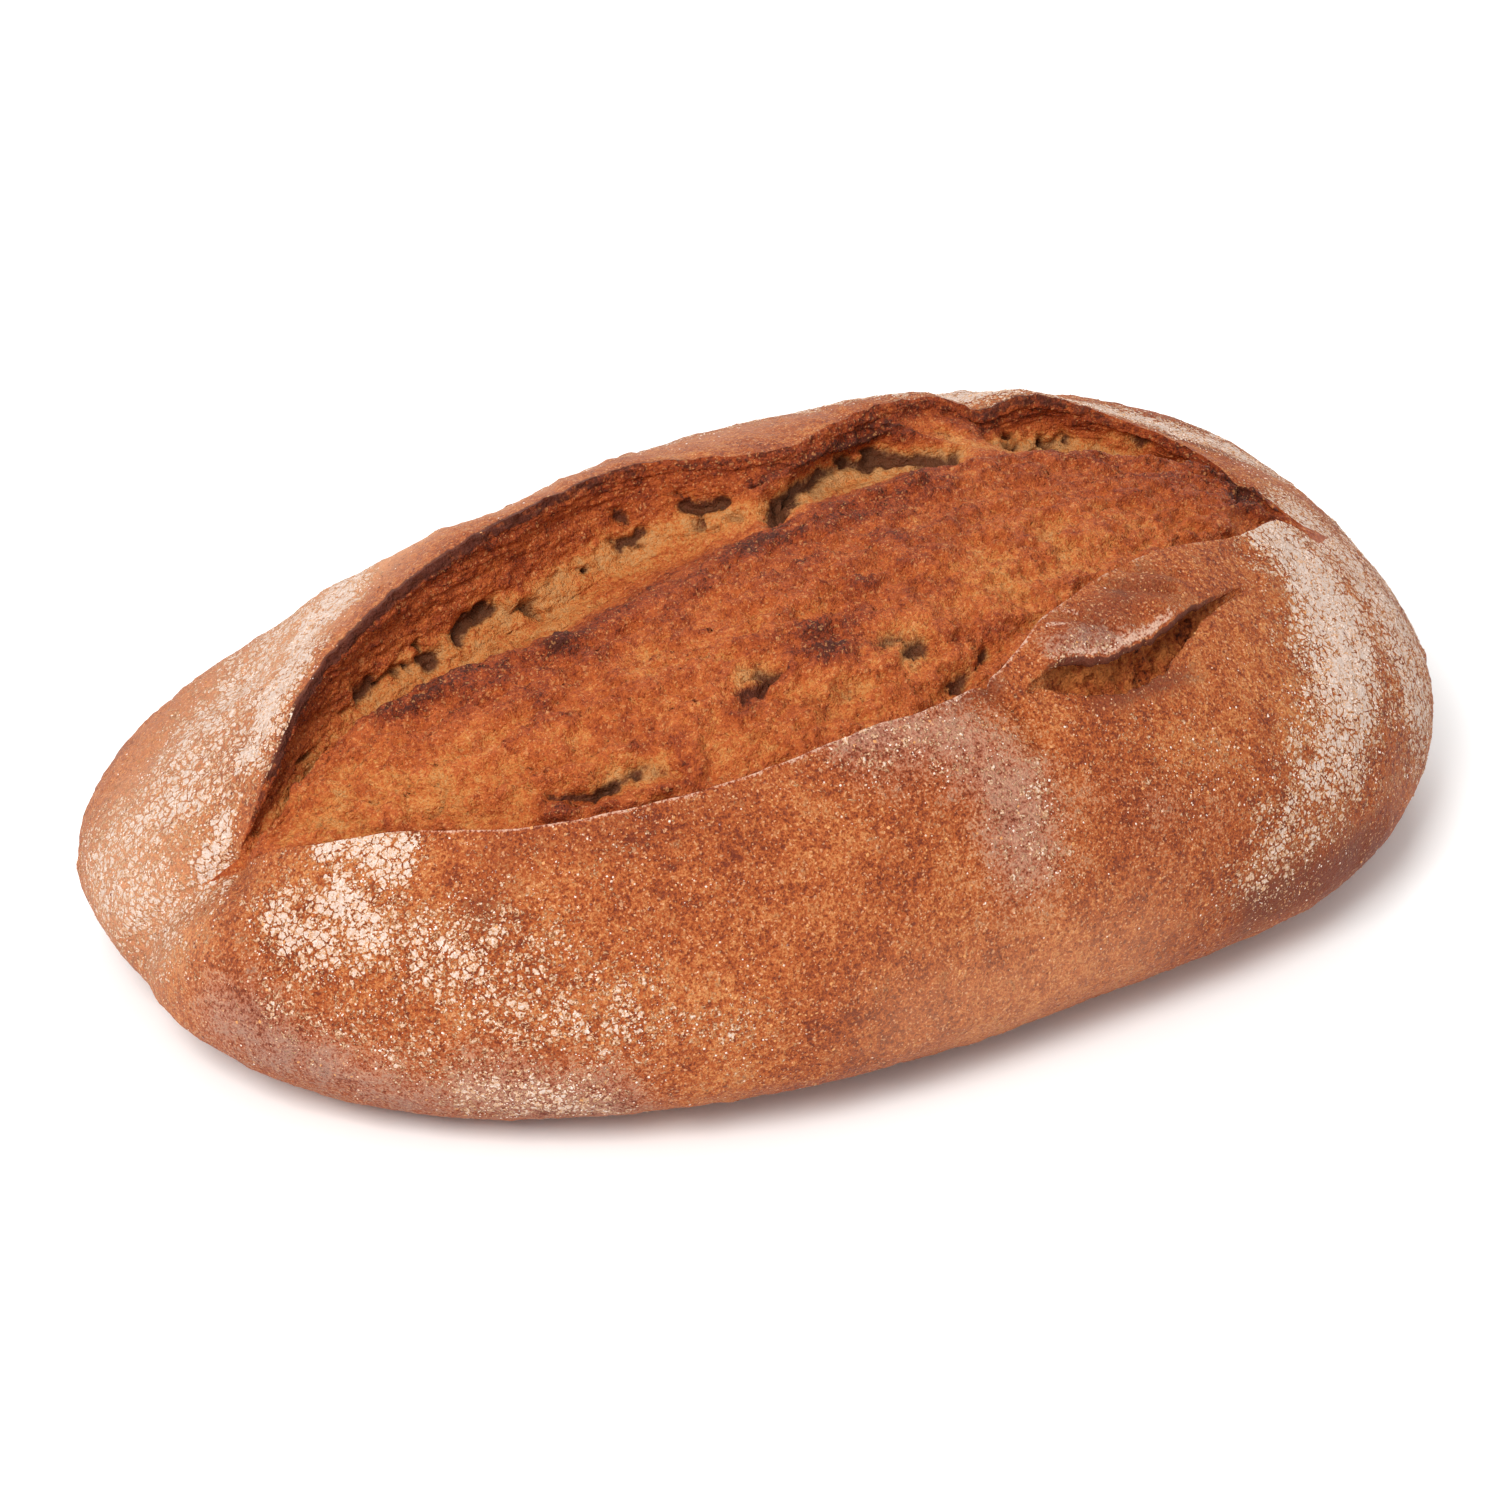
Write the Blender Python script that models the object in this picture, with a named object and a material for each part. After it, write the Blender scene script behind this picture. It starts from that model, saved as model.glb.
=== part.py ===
"""A long oval wholemeal loaf, baked free on the oven floor. One wide slash has opened along its top and a short one
on its front right shoulder.

Blender 4.5. The form is worked out in millimetres and written to the mesh in metres. +X runs along the loaf towards
its right end, -Y is the front, +Z is up, and the origin is on the oven floor under the middle of the loaf.
"""

import bmesh
import bpy
import numpy as np

MM = 0.001

# The uncut loaf
HALF_LENGTH = 150.0
HALF_WIDTH = 88.0
CROWN_HEIGHT = 89.0
NOSE_HEIGHT = 20.0
BEND = 18.3
SWELL_TO_THE_RIGHT = 0.08
RISE_TO_THE_RIGHT = 0.07
PLAN_POWER = 2.75
SPINE_POWER = 1.9
SIDE_POWER = 2.3
SHOULDER_POWER = 2.1
TUCK = 0.42
BODY_SET_BACK = 2.2

# Places across the loaf are shares of its half width, from -1 at the front to 1 at the back, listed with the
# millimetres along the loaf at which they are true. Left of the first and right of the last the slash is closed.
SLASH_START = -134.0
SLASH_END = 117.0
FRONT_LIP = [
    (-134, -0.39), (-126, -0.40), (-118, -0.465), (-110, -0.50), (-90, -0.61), (-60, -0.67), (-20, -0.66),
    (16, -0.62), (30, -0.545), (46, -0.47), (62, -0.43), (90, -0.41), (110, -0.37), (117, -0.41),
]
FLOOR_RIDGE = [
    (-134, -0.37), (-124, -0.30), (-112, -0.15), (-84, -0.06), (-60, -0.08), (-20, 0.02), (20, 0.08),
    (54, 0.09), (80, 0.03), (100, -0.11), (117, -0.40),
]
VALLEY = [
    (-134, -0.365), (-122, -0.235), (-110, -0.06), (-90, 0.10), (-60, 0.21), (-20, 0.30), (3, 0.17), (22, 0.27),
    (52, 0.20), (68, 0.26), (84, 0.22), (100, 0.03), (117, -0.39),
]
EAR = [
    (-134, -0.36), (-128, -0.30), (-122, -0.205), (-110, -0.02), (-90, 0.145), (-60, 0.28), (-22, 0.39),
    (4, 0.26), (30, 0.31), (52, 0.33), (62, 0.29), (68, 0.30), (84, 0.24), (100, 0.05), (117, -0.38),
]
CLOSED_GAP = 0.02

# Heights from the uncut crown, in millimetres
VALLEY_DEPTH = [
    (-134, 0), (-124, 5), (-104, 12), (-70, 14), (-20, 12), (6, 4), (18, 9), (36, 8), (54, 3), (68, 8),
    (92, 8), (106, 3), (117, 0),
]
EAR_LIFT = [
    (-134, 0), (-118, 5), (-96, 7.5), (-40, 8), (-4, 4.5), (12, 3), (34, 4), (50, 3.5), (62, 1.2), (72, 4),
    (96, 2), (117, 0),
]
FLOOR_SINK = [(-134, 0), (-118, 2.0), (-90, 3.0), (0, 3.5), (80, 2.5), (117, 0)]
RIDGE_RISE = 1.6
LIP_RISE = 1.2
LIP_REACH = 9.0
LIP_STEP = 2.2
EAR_REACH = 16.0
RIM_THICKNESS = 2.4
RIM_NOSE = 1.2
WALL_HOLLOW = 2.5

# The short slash, between its own lower lip and the tongue of crust that curls over it
SHORT_START = 19.0
SHORT_END = 86.0
SHORT_LOWER_LIP = [(16, -0.645), (28, -0.69), (40, -0.72), (52, -0.70), (66, -0.62), (90, -0.555)]
SHORT_TONGUE = [(16, -0.635), (28, -0.635), (40, -0.655), (52, -0.635), (66, -0.585), (90, -0.54)]
SHORT_DEPTH = 6.0
TONGUE_RISE = 3.0
TONGUE_REACH = 11.0
TONGUE_THICKNESS = 2.6
NARROWEST_STRIP = 0.07

# Grooves, tears and flats pressed into the loaf towards its core, and one swelling: start, end, half width, depth
DENTS = (
    ((6, -58, 74), (20, -68, 66), 2.6, 1.8),
    ((-134, -5, 46), (-151, 9, 22), 5.5, 5.5),
    ((-62, -42, 79), (-40, -41, 81), 3.4, 2.6),
    ((-16, -28, 88), (26, -32, 88), 5.0, 2.2),
    ((16, -42, 82), (26, -44, 81), 3.0, 2.4),
    ((98, 5, 71), (106, -3, 68), 3.0, 3.2),
    ((28, -86, 10), (58, -84, 10), 15.0, 1.3),
    ((-132, 49, 43), (-113, 48, 55), 12.0, 4.2),
    ((-84, 48, 69), (-65, 41, 80), 12.0, -3.8),
    ((-36, 37, 88), (-14, 39, 90), 12.0, 1.0),
    ((112, 40, 64), (128, 28, 52), 12.0, 1.3),
)
CORE_HEIGHT = 34.0
CORE_PULL = 0.75

# Slow unevenness of the whole loaf and of the torn floor: wavelength and height
BODY_LUMPS = (80.0, 1.3)
FLOOR_LUMPS = (21.0, 1.0)
SEED = 5

# Rows of points along the loaf, and points round each row, by zone from the middle of the base by the front
ROWS = 84
SIDE_POINTS = 15
SHORT_POINTS = 6
STRIP_POINTS = 5
FLOOR_POINTS = 13
EDGE_POINTS = 5
WALL_POINTS = 6
RIM_POINTS = 3
BACK_POINTS = 18

CRUST_COLOUR = (0.42, 0.14, 0.04, 1.0)
CRUST_ROUGHNESS = 0.75


def through(points, at):
    """A smooth line through a few (place, value) points, level beyond the first and the last."""
    place, value = (np.array(column, float) for column in zip(*points))
    slope = np.gradient(value, place)
    slope[0] = slope[-1] = 0.0
    at = np.clip(at, place[0], place[-1])
    left = np.clip(np.searchsorted(place, at) - 1, 0, len(place) - 2)
    span = place[left + 1] - place[left]
    t = (at - place[left]) / span
    rise = (1 + 2 * t) * (1 - t) ** 2 * value[left] + t * t * (3 - 2 * t) * value[left + 1]
    return rise + span * (t * (1 - t) ** 2 * slope[left] - t * t * (1 - t) * slope[left + 1])


def ease(low, high, value):
    """0 below low, 1 above high, and a smooth rise between."""
    t = np.clip((value - low) / (high - low), 0.0, 1.0)
    return t * t * (3 - 2 * t)


def lumps(x, y, z, wavelength, seed, waves=24):
    """Smooth unevenness, about -1 to 1: waves of about one length, running every way."""
    draw = np.random.default_rng(seed)
    total = np.zeros(np.broadcast(x, y, z).shape)
    for _ in range(waves):
        way = draw.normal(size=3)
        way *= 2 * np.pi / (wavelength * draw.uniform(0.7, 1.6)) / np.linalg.norm(way)
        total += np.sin(way[0] * x + way[1] * y + way[2] * z + draw.uniform(0, 2 * np.pi))
    return total / np.sqrt(waves)


def end_fall(x, power):
    """1 in the middle of the loaf, falling to 0 at its two ends."""
    share = np.minimum(np.abs(x) / HALF_LENGTH, 1.0)
    return (1 - share**power) ** (1 / power)


def half_width(x):
    return HALF_WIDTH * end_fall(x, PLAN_POWER) * (1 + SWELL_TO_THE_RIGHT * x / HALF_LENGTH)


def middle_line(x):
    """How far back the middle of the loaf lies: both ends bend to the back."""
    return BEND * (x / HALF_LENGTH) ** 2


def top_height(x):
    rise = (CROWN_HEIGHT - NOSE_HEIGHT) * end_fall(x, SPINE_POWER)
    return NOSE_HEIGHT + rise * (1 + RISE_TO_THE_RIGHT * x / HALF_LENGTH)


def base_height(x):
    """The underside, flat but for the two ends, where it rounds up to the noses."""
    over = np.clip((np.abs(x) / HALF_LENGTH - 1 + TUCK) / TUCK, 0.0, 1.0)
    return NOSE_HEIGHT * (1 - np.sqrt(1 - over**2))


def crown(x, share):
    """Height of the uncut top at a share of the half width."""
    fall = (1 - np.minimum(np.abs(share), 1.0) ** SIDE_POWER) ** (1 / SHOULDER_POWER)
    return NOSE_HEIGHT + (top_height(x) - NOSE_HEIGHT) * fall


def opening(x):
    """0 where the slash is closed and 1 where it is open."""
    return ease(SLASH_START, SLASH_START + 16, x) * ease(-SLASH_END, -SLASH_END + 12, -x)


def slash_lines(x):
    """Shares across the loaf of the front lip, the floor's ridge, the valley and the ear's edge, never crossing."""
    ear = through(EAR, x) + CLOSED_GAP
    valley = np.minimum(through(VALLEY, x), ear - CLOSED_GAP)
    ridge = np.minimum(through(FLOOR_RIDGE, x), valley - CLOSED_GAP)
    lip = np.minimum(through(FRONT_LIP, x), ridge - CLOSED_GAP)
    return lip, ridge, valley, ear


def short_opening(x):
    """0 where the short slash is closed and 1 where it is open."""
    return ease(SHORT_START, SHORT_START + 14, x) * ease(-SHORT_END, -SHORT_END + 26, -x)


def short_lines(x, lip):
    """Shares across the loaf of the short slash's lower lip and of the edge of the tongue over it."""
    tongue = np.minimum(through(SHORT_TONGUE, x), lip - NARROWEST_STRIP)
    return np.minimum(through(SHORT_LOWER_LIP, x), tongue - 0.5 * CLOSED_GAP), tongue


def outer_contour(x, edge_share, side):
    """Points of one row's crust from the middle of its base out, up and over to edge_share. side is -1 for the front."""
    width, low = half_width(x), base_height(x)
    tuck_turn = np.linspace(np.pi / 2, 0, 24)
    under_share = side * (1 - TUCK * (1 - np.cos(tuck_turn)))
    under_height = NOSE_HEIGHT - (NOSE_HEIGHT - low) * np.sin(tuck_turn)
    over_turn = np.linspace(0, 1, 60)[1:]
    over_share = side * (1 - (1 - side * edge_share) * over_turn**1.8)
    share = np.concatenate([[0.0], under_share, over_share])
    height = np.concatenate([[low], under_height, crown(x, over_share)])
    return middle_line(x) + width * share, height


def spread(y, z, count, crowd):
    """Even places along a contour, crowding to its far end. The far end itself is the last of them."""
    run = np.concatenate([[0.0], np.cumsum(np.hypot(np.diff(y), np.diff(z)))])
    place = run[-1] * (1 - (1 - np.linspace(0, 1, count)) ** crowd)
    return np.interp(place, run, y), np.interp(place, run, z)


def crust_row(x, edge_share, side, count):
    """One row's crust from the middle of its base to an edge of the slash."""
    y, z = outer_contour(x, edge_share, side)
    return spread(y, z, count, 1.25)


def floor_row(x, lip, ridge, count):
    """The torn floor of the slash, from the foot of the front lip to the ridge along its back edge."""
    t = np.linspace(0, 1, count)
    share = lip + (ridge - lip) * t
    y = middle_line(x) + half_width(x) * share
    foot = LIP_STEP * np.exp(-((t / 0.16) ** 2))
    crest = RIDGE_RISE * np.exp(-(((1 - t) / 0.14) ** 2))
    swell = 1.0 - 0.55 * np.sin(np.pi * t)
    drop = through(FLOOR_SINK, x) * swell + opening(x) * (foot - crest)
    uneven = lumps(x, y, 0.0, FLOOR_LUMPS[0], SEED + 1) * FLOOR_LUMPS[1]
    return y, crown(x, share) - drop + uneven * opening(x) * np.sin(np.pi * t) ** 0.5


def edge_row(x, ridge, valley, count):
    """The slope from the floor's ridge down to the bottom of the fissure."""
    t = np.linspace(0, 1, count + 1)[1:]
    share = ridge + (valley - ridge) * t
    top = crown(x, ridge) - through(FLOOR_SINK, x) + opening(x) * RIDGE_RISE
    bottom = crown(x, valley) - through(VALLEY_DEPTH, x)
    return middle_line(x) + half_width(x) * share, top + (bottom - top) * ease(0.0, 1.0, t**0.8)


def wall_row(x, valley, ear, count):
    """The inner face of the ear, hollowed, from the bottom of the fissure to the underside of its rim."""
    t = np.linspace(0, 1, count + 1)[1:]
    low_y = middle_line(x) + half_width(x) * valley
    high_y = middle_line(x) + half_width(x) * ear
    low = crown(x, valley) - through(VALLEY_DEPTH, x)
    high = crown(x, ear) + through(EAR_LIFT, x) - RIM_THICKNESS * opening(x)
    y = low_y + (high_y - low_y) * t**1.4 + opening(x) * (WALL_HOLLOW * np.sin(np.pi * t) - RIM_NOSE * t**4)
    return y, low + (high - low) * t


def rim_row(x, ear, count):
    """The thin crust edge of the ear, from its underside to its top."""
    t = np.linspace(0, 1, count + 1)[1:]
    high = crown(x, ear) + through(EAR_LIFT, x)
    y = middle_line(x) + half_width(x) * ear - opening(x) * RIM_NOSE * (1 - t**2)
    return y, high - RIM_THICKNESS * opening(x) * (1 - t)


def short_row(x, lower, tongue, count):
    """The short slash: down from its lower lip, up the inner face and round the edge of the tongue."""
    width, middle, wide = half_width(x), middle_line(x), short_opening(x)
    low, high = crown(x, lower), crown(x, tongue) + TONGUE_RISE * wide
    y_low, y_high = middle + width * lower, middle + width * tongue
    places = [
        (y_low + 0.30 * (y_high - y_low), low - 0.6 * SHORT_DEPTH * wide),
        (y_low + 0.55 * (y_high - y_low), low - SHORT_DEPTH * wide),
        (y_high + 1.0 * wide, low - 0.45 * SHORT_DEPTH * wide),
        (y_high + 1.4 * wide, high - 1.5 * TONGUE_THICKNESS * wide),
        (y_high + 0.2 * wide, high - 0.9 * TONGUE_THICKNESS * wide),
        (y_high - 0.3 * wide, high - 0.35 * TONGUE_THICKNESS * wide),
    ]
    closed = np.linspace(0, 1, count + 2)[1:-1]
    y = np.array([place[0] for place in places]) * wide + (1 - wide) * (y_low + (y_high - y_low) * closed)
    z = np.array([place[1] for place in places]) * wide + (1 - wide) * (low + (high - low) * closed)
    return y, z


def strip_row(x, tongue, lip, count):
    """The strip of crust between the short slash and the front lip, raised along the edge of the tongue."""
    share = tongue + (lip - tongue) * np.linspace(0, 1, count)
    y = middle_line(x) + half_width(x) * share
    from_tongue = (y - y[0]) / TONGUE_REACH
    return y, crown(x, share) + TONGUE_RISE * short_opening(x) * np.exp(-(from_tongue**2))


def with_raised_lip(row, x, lip):
    """A row of front crust, swelling up a little towards the front lip of the long slash."""
    y, z = row
    from_lip = (middle_line(x) + half_width(x) * lip - y) / LIP_REACH
    above = ease(NOSE_HEIGHT, NOSE_HEIGHT + 15, z)
    return y, z + LIP_RISE * opening(x) * above * np.exp(-(from_lip**2))


def section(x):
    """One closed row of points round the loaf, from the middle of the base by the front."""
    lip, ridge, valley, ear = (float(line) for line in slash_lines(x))
    lower, tongue = (float(line) for line in short_lines(x, lip))
    back_y, back_z = crust_row(x, ear, 1, BACK_POINTS + 1)
    reach = min(EAR_REACH, 0.8 * half_width(x) * (1 - ear))
    from_ear = (back_y - back_y[-1]) / reach
    raised = through(EAR_LIFT, x) * np.exp(-(from_ear**2)) * ease(NOSE_HEIGHT, NOSE_HEIGHT + 20, back_z)
    back_z = back_z + raised
    rows = [
        with_raised_lip(crust_row(x, lower, -1, SIDE_POINTS), x, lip),
        with_raised_lip(short_row(x, lower, tongue, SHORT_POINTS), x, lip),
        with_raised_lip(strip_row(x, tongue, lip, STRIP_POINTS), x, lip),
        floor_row(x, lip + 0.012, ridge, FLOOR_POINTS),
        edge_row(x, ridge, valley, EDGE_POINTS),
        wall_row(x, valley, ear, WALL_POINTS),
        rim_row(x, ear, RIM_POINTS),
        (back_y[-2:0:-1], back_z[-2:0:-1]),
    ]
    return np.concatenate([row[0] for row in rows]), np.concatenate([row[1] for row in rows])


def dent_depth(place, start, end, half_width_of_dent, depth):
    """How deep a straight dent is at each place, fading to its sides and past its ends."""
    start, end = np.array(start, float), np.array(end, float)
    run = end - start
    t = np.clip((place - start) @ run / (run @ run), 0.0, 1.0)
    away = np.linalg.norm(place - start - t[..., None] * run, axis=-1)
    return depth * np.exp(-((away / half_width_of_dent) ** 2))


def dented(place):
    """The points moved in towards the core of the loaf by every dent."""
    core = np.stack([place[..., 0] * CORE_PULL, middle_line(place[..., 0]), np.full(place.shape[:-1], CORE_HEIGHT)], -1)
    inward = core - place
    inward /= np.linalg.norm(inward, axis=-1, keepdims=True)
    total = sum(dent_depth(place, *dent) for dent in DENTS)
    return place + inward * total[..., None]


def loaf_points():
    """Every point of the loaf but the two end points, as rows along the loaf by places round it."""
    along = -HALF_LENGTH * np.cos(np.pi * (np.arange(1, ROWS) / ROWS))
    sections = [section(x) for x in along]
    y = np.array([row[0] for row in sections])
    z = np.array([row[1] for row in sections])
    x = np.repeat(along[:, None], y.shape[1], axis=1)
    share = (y - middle_line(x)) / half_width(x)
    swelling = lumps(x, y, z, BODY_LUMPS[0], SEED) * BODY_LUMPS[1] * ease(1.0, 16.0, z)
    y = y + swelling * share
    z = z + swelling * (1 - np.minimum(np.abs(share), 1.0))
    return dented(np.stack([x, y, z], axis=-1)) - np.array([0.0, BODY_SET_BACK, 0.0])


def loaf_mesh():
    """A sphere's rings and segments, moved to the loaf's rows: its poles become the two ends."""
    points = loaf_points()
    mesh = bpy.data.meshes.new("loaf")
    bm = bmesh.new()
    rows = [[bm.verts.new(point * MM) for point in row] for row in points]
    ends = []
    for row, side in ((points[0], -1), (points[-1], 1)):
        ends.append(bm.verts.new((side * HALF_LENGTH * MM, row[:, 1].mean() * MM, row[:, 2].mean() * MM)))
    around = len(rows[0])
    for near, far in zip(rows, rows[1:]):
        for i in range(around):
            j = (i + 1) % around
            bm.faces.new((near[i], near[j], far[j], far[i]))
    for i in range(around):
        j = (i + 1) % around
        bm.faces.new((ends[0], rows[0][j], rows[0][i]))
        bm.faces.new((ends[1], rows[-1][i], rows[-1][j]))
    bmesh.ops.recalc_face_normals(bm, faces=bm.faces)
    bm.to_mesh(mesh)
    bm.free()
    mesh.shade_smooth()
    return mesh


def crust_material():
    """Baked wholemeal crust: matt, orange brown."""
    material = bpy.data.materials.new("crust")
    material.use_nodes = True
    shader = material.node_tree.nodes["Principled BSDF"]
    shader.inputs["Base Color"].default_value = CRUST_COLOUR
    shader.inputs["Roughness"].default_value = CRUST_ROUGHNESS
    shader.inputs["Metallic"].default_value = 0.0
    return material


def clear_scene():
    for old in list(bpy.data.objects):
        bpy.data.objects.remove(old, do_unlink=True)


def build():
    clear_scene()
    loaf = bpy.data.objects.new("loaf", loaf_mesh())
    loaf.data.materials.append(crust_material())
    bpy.context.scene.collection.objects.link(loaf)


build()
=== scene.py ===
"""Dresses the wholemeal hearth loaf: its baked crust, the torn face of its slashes, its flour and its bran.

The form is worked out in millimetres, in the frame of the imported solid, and written to the meshes in metres.
+X runs along the loaf to its right end, -Y is the front and +Z is up. A place across the loaf is a share of
its half width, from -1 at the front to 1 at the back. The finishes read Object coordinates, in metres, and
named point attributes.
"""

import logging
import math
from dataclasses import dataclass, field, replace
from typing import Sequence

import bpy
import numpy as np
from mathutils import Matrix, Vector


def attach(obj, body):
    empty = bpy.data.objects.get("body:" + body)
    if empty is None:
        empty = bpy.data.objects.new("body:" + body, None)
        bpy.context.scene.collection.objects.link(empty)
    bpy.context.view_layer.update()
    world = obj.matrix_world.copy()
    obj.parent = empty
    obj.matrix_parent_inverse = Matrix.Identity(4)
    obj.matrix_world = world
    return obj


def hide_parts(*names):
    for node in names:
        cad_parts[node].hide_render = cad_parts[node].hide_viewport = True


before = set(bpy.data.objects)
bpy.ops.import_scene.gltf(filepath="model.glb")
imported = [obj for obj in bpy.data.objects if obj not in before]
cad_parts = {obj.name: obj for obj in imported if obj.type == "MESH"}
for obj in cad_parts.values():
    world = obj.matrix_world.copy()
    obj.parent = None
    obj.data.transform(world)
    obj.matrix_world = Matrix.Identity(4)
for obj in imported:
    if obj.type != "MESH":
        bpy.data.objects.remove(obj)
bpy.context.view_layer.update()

MM = 0.001
NODE = "loaf"
LOG = logging.getLogger("loaf")

Array = np.ndarray
Course = Sequence[tuple[float, float]]
Size = float | Sequence[float]

# Odd multipliers that stir the bits of a lattice corner's number, and the parts it is read in
STIR_X, STIR_Y, STIR_Z, STIR_SEED = (np.uint32(n) for n in (374761393, 668265263, 2246822519, 3266489917))
PART_BITS = 10
PART_TOP = 2**PART_BITS - 1
OWN_NUMBERS = 997
# Brings smooth noise to about -1 to 1
NOISE_GAIN = 1.6


def ease(low: float, high: float, value: Array) -> Array:
    """Rise smoothly from 0 below low to 1 above high.

    Args:
        low: where the rise starts.
        high: where it ends.
        value: the places to read it at.

    Returns:
        The rise at each place.
    """
    t = np.clip((value - low) / (high - low), 0.0, 1.0)
    return t * t * (3 - 2 * t)


def through(course: Course, at: Array) -> Array:
    """Follow a smooth line through a few (place, value) points, level beyond the first and the last.

    Args:
        course: the points, by rising place.
        at: the places to read the line at.

    Returns:
        The line's value at each place.
    """
    place, value = (np.array(column, float) for column in zip(*course))
    slope = np.gradient(value, place)
    slope[0] = slope[-1] = 0.0
    at = np.clip(at, place[0], place[-1])
    left = np.clip(np.searchsorted(place, at) - 1, 0, len(place) - 2)
    span = place[left + 1] - place[left]
    t = (at - place[left]) / span
    rise = (1 + 2 * t) * (1 - t) ** 2 * value[left] + t * t * (3 - 2 * t) * value[left + 1]
    return rise + span * (t * (1 - t) ** 2 * slope[left] - t * t * (1 - t) * slope[left + 1])


def corner_hash(corner: Array, seed: int) -> Array:
    """Give each whole-number corner of a lattice its own 32-bit number.

    Args:
        corner: whole numbers, the last axis being x, y and z.
        seed: picks another set of numbers.

    Returns:
        One unsigned number for each corner.
    """
    c = corner.astype(np.int64).astype(np.uint32)
    h = c[..., 0] * STIR_X + c[..., 1] * STIR_Y + c[..., 2] * STIR_Z
    h = h + np.uint32(seed * int(STIR_SEED) % 2**32)
    h = (h ^ (h >> np.uint32(15))) * STIR_Z
    h = (h ^ (h >> np.uint32(13))) * STIR_SEED
    return h ^ (h >> np.uint32(16))


def three_parts(number: Array) -> Array:
    """Read each 32-bit number as three smaller ones, from 0 to PART_TOP, on a new last axis."""
    return np.stack([(number >> np.uint32(PART_BITS * part)) & np.uint32(PART_TOP) for part in range(3)], -1)


def noise(place: Array, size: Size, seed: int) -> Array:
    """Smooth noise of about -1 to 1.

    Args:
        place: points in millimetres, the last axis being x, y and z.
        size: the noise's grain in millimetres, one number or one for each axis.
        seed: picks another pattern.

    Returns:
        The noise at each point.
    """
    p = place / np.array(size, float)
    base = np.floor(p)
    f = p - base
    w = f * f * f * (f * (f * 6 - 15) + 10)
    total = np.zeros(p.shape[:-1])
    for step in np.ndindex(2, 2, 2):
        h = corner_hash(base + step, seed)
        lean = three_parts(h) / (0.5 * PART_TOP) - 1.0
        weight = np.prod(np.where(np.array(step) == 1, w, 1 - w), axis=-1)
        total += weight * np.sum(lean * (f - step), axis=-1)
    return total * NOISE_GAIN


def rough(place: Array, size: Size, octaves: int, seed: int, keep: float = 0.5) -> Array:
    """Layered noise, each layer half the grain of the last.

    Args:
        place: points in millimetres.
        size: the coarsest grain in millimetres.
        octaves: how many layers.
        seed: picks another pattern.
        keep: the height of each layer beside the last.

    Returns:
        The noise at each point, about -1 to 1.
    """
    size = np.array(size, float)
    total, weight = 0.0, 0.0
    for layer in range(octaves):
        total = total + noise(place, size / 2**layer, seed + 17 * layer) * keep**layer
        weight += keep ** (2 * layer)
    return total / math.sqrt(weight)


def cells(place: Array, size: Size, seed: int) -> tuple[Array, Array, Array]:
    """Split space into irregular cells round scattered seeds.

    Args:
        place: points in millimetres.
        size: the cells' size in millimetres.
        seed: picks another pattern.

    Returns:
        The distances to the nearest and next seed, as shares of the size, and the nearest seed's own number,
        0 to 1.
    """
    p = place / np.array(size, float)
    base = np.floor(p)
    first = np.full(p.shape[:-1], np.inf)
    second = first.copy()
    own = np.zeros(p.shape[:-1])
    for step in np.ndindex(3, 3, 3):
        corner = base + step - 1
        h = corner_hash(corner, seed)
        spot = corner + three_parts(h) / PART_TOP
        away = np.sqrt(np.sum((p - spot) ** 2, axis=-1))
        nearer = away < first
        second = np.where(nearer, first, np.minimum(second, away))
        own = np.where(nearer, (h % np.uint32(OWN_NUMBERS)) / OWN_NUMBERS, own)
        first = np.where(nearer, away, first)
    return first, second, own


def near_path(place: Array, path: Array) -> Array:
    """Measure how far each point lies from a path of straight runs.

    Args:
        place: points in millimetres.
        path: the path's corners.

    Returns:
        The distance in millimetres.
    """
    corners = np.asarray(path, float)
    if len(corners) == 1:
        return np.linalg.norm(place - corners[0], axis=-1)
    nearest = np.full(place.shape[:-1], np.inf)
    for start, end in zip(corners, corners[1:]):
        run = end - start
        t = np.clip((place - start) @ run / (run @ run), 0.0, 1.0)
        nearest = np.minimum(nearest, np.linalg.norm(place - start - t[..., None] * run, axis=-1))
    return nearest


@dataclass(frozen=True)
class Grain:
    """One layer of unevenness: its height and coarsest size in millimetres, its octaves and its seed."""

    height: float
    size: Size
    octaves: int
    seed: int
    keep: float = 0.5

    def at(self, place: Array) -> Array:
        """Height of the layer at each point."""
        return self.height * rough(place, self.size, self.octaves, self.seed, self.keep)


@dataclass(frozen=True)
class Domes:
    """Rounded bumps or holes at scattered places.

    height and size are in millimetres, radius and growth are shares of the size, and a smaller power makes
    them steeper. Places whose own number is below bare have none. When varied is set, the height follows the
    number above bare instead.
    """

    height: float
    size: Size
    seed: int
    radius: float
    growth: float = 0.0
    power: float = 1.0
    bare: float = 0.0
    varied: bool = False

    def at(self, place: Array) -> Array:
        """Height of the bumps, or depth of the holes, at each point."""
        first, _, own = cells(place, self.size, self.seed)
        rise = np.clip(1 - (first / (self.radius + self.growth * own)) ** 2, 0, 1) ** self.power
        return self.height * rise * (own - self.bare if self.varied else own > self.bare)


def wandered(
    place: Array, reach: float, size: float, seeds: Sequence[int], octaves: int = 1, keep: float = 0.6
) -> Array:
    """Move points about a little, so that what is read at them gets ragged edges.

    Args:
        place: points in millimetres.
        reach: how far they move, in millimetres.
        size: the size of the unevenness that moves them, in millimetres.
        seeds: one for each axis.
        octaves: how many layers the unevenness has.
        keep: the strength of each layer beside the last.

    Returns:
        The moved points.
    """
    return place + reach * np.stack([rough(place, size, octaves, seed, keep) for seed in seeds], -1)


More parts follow.
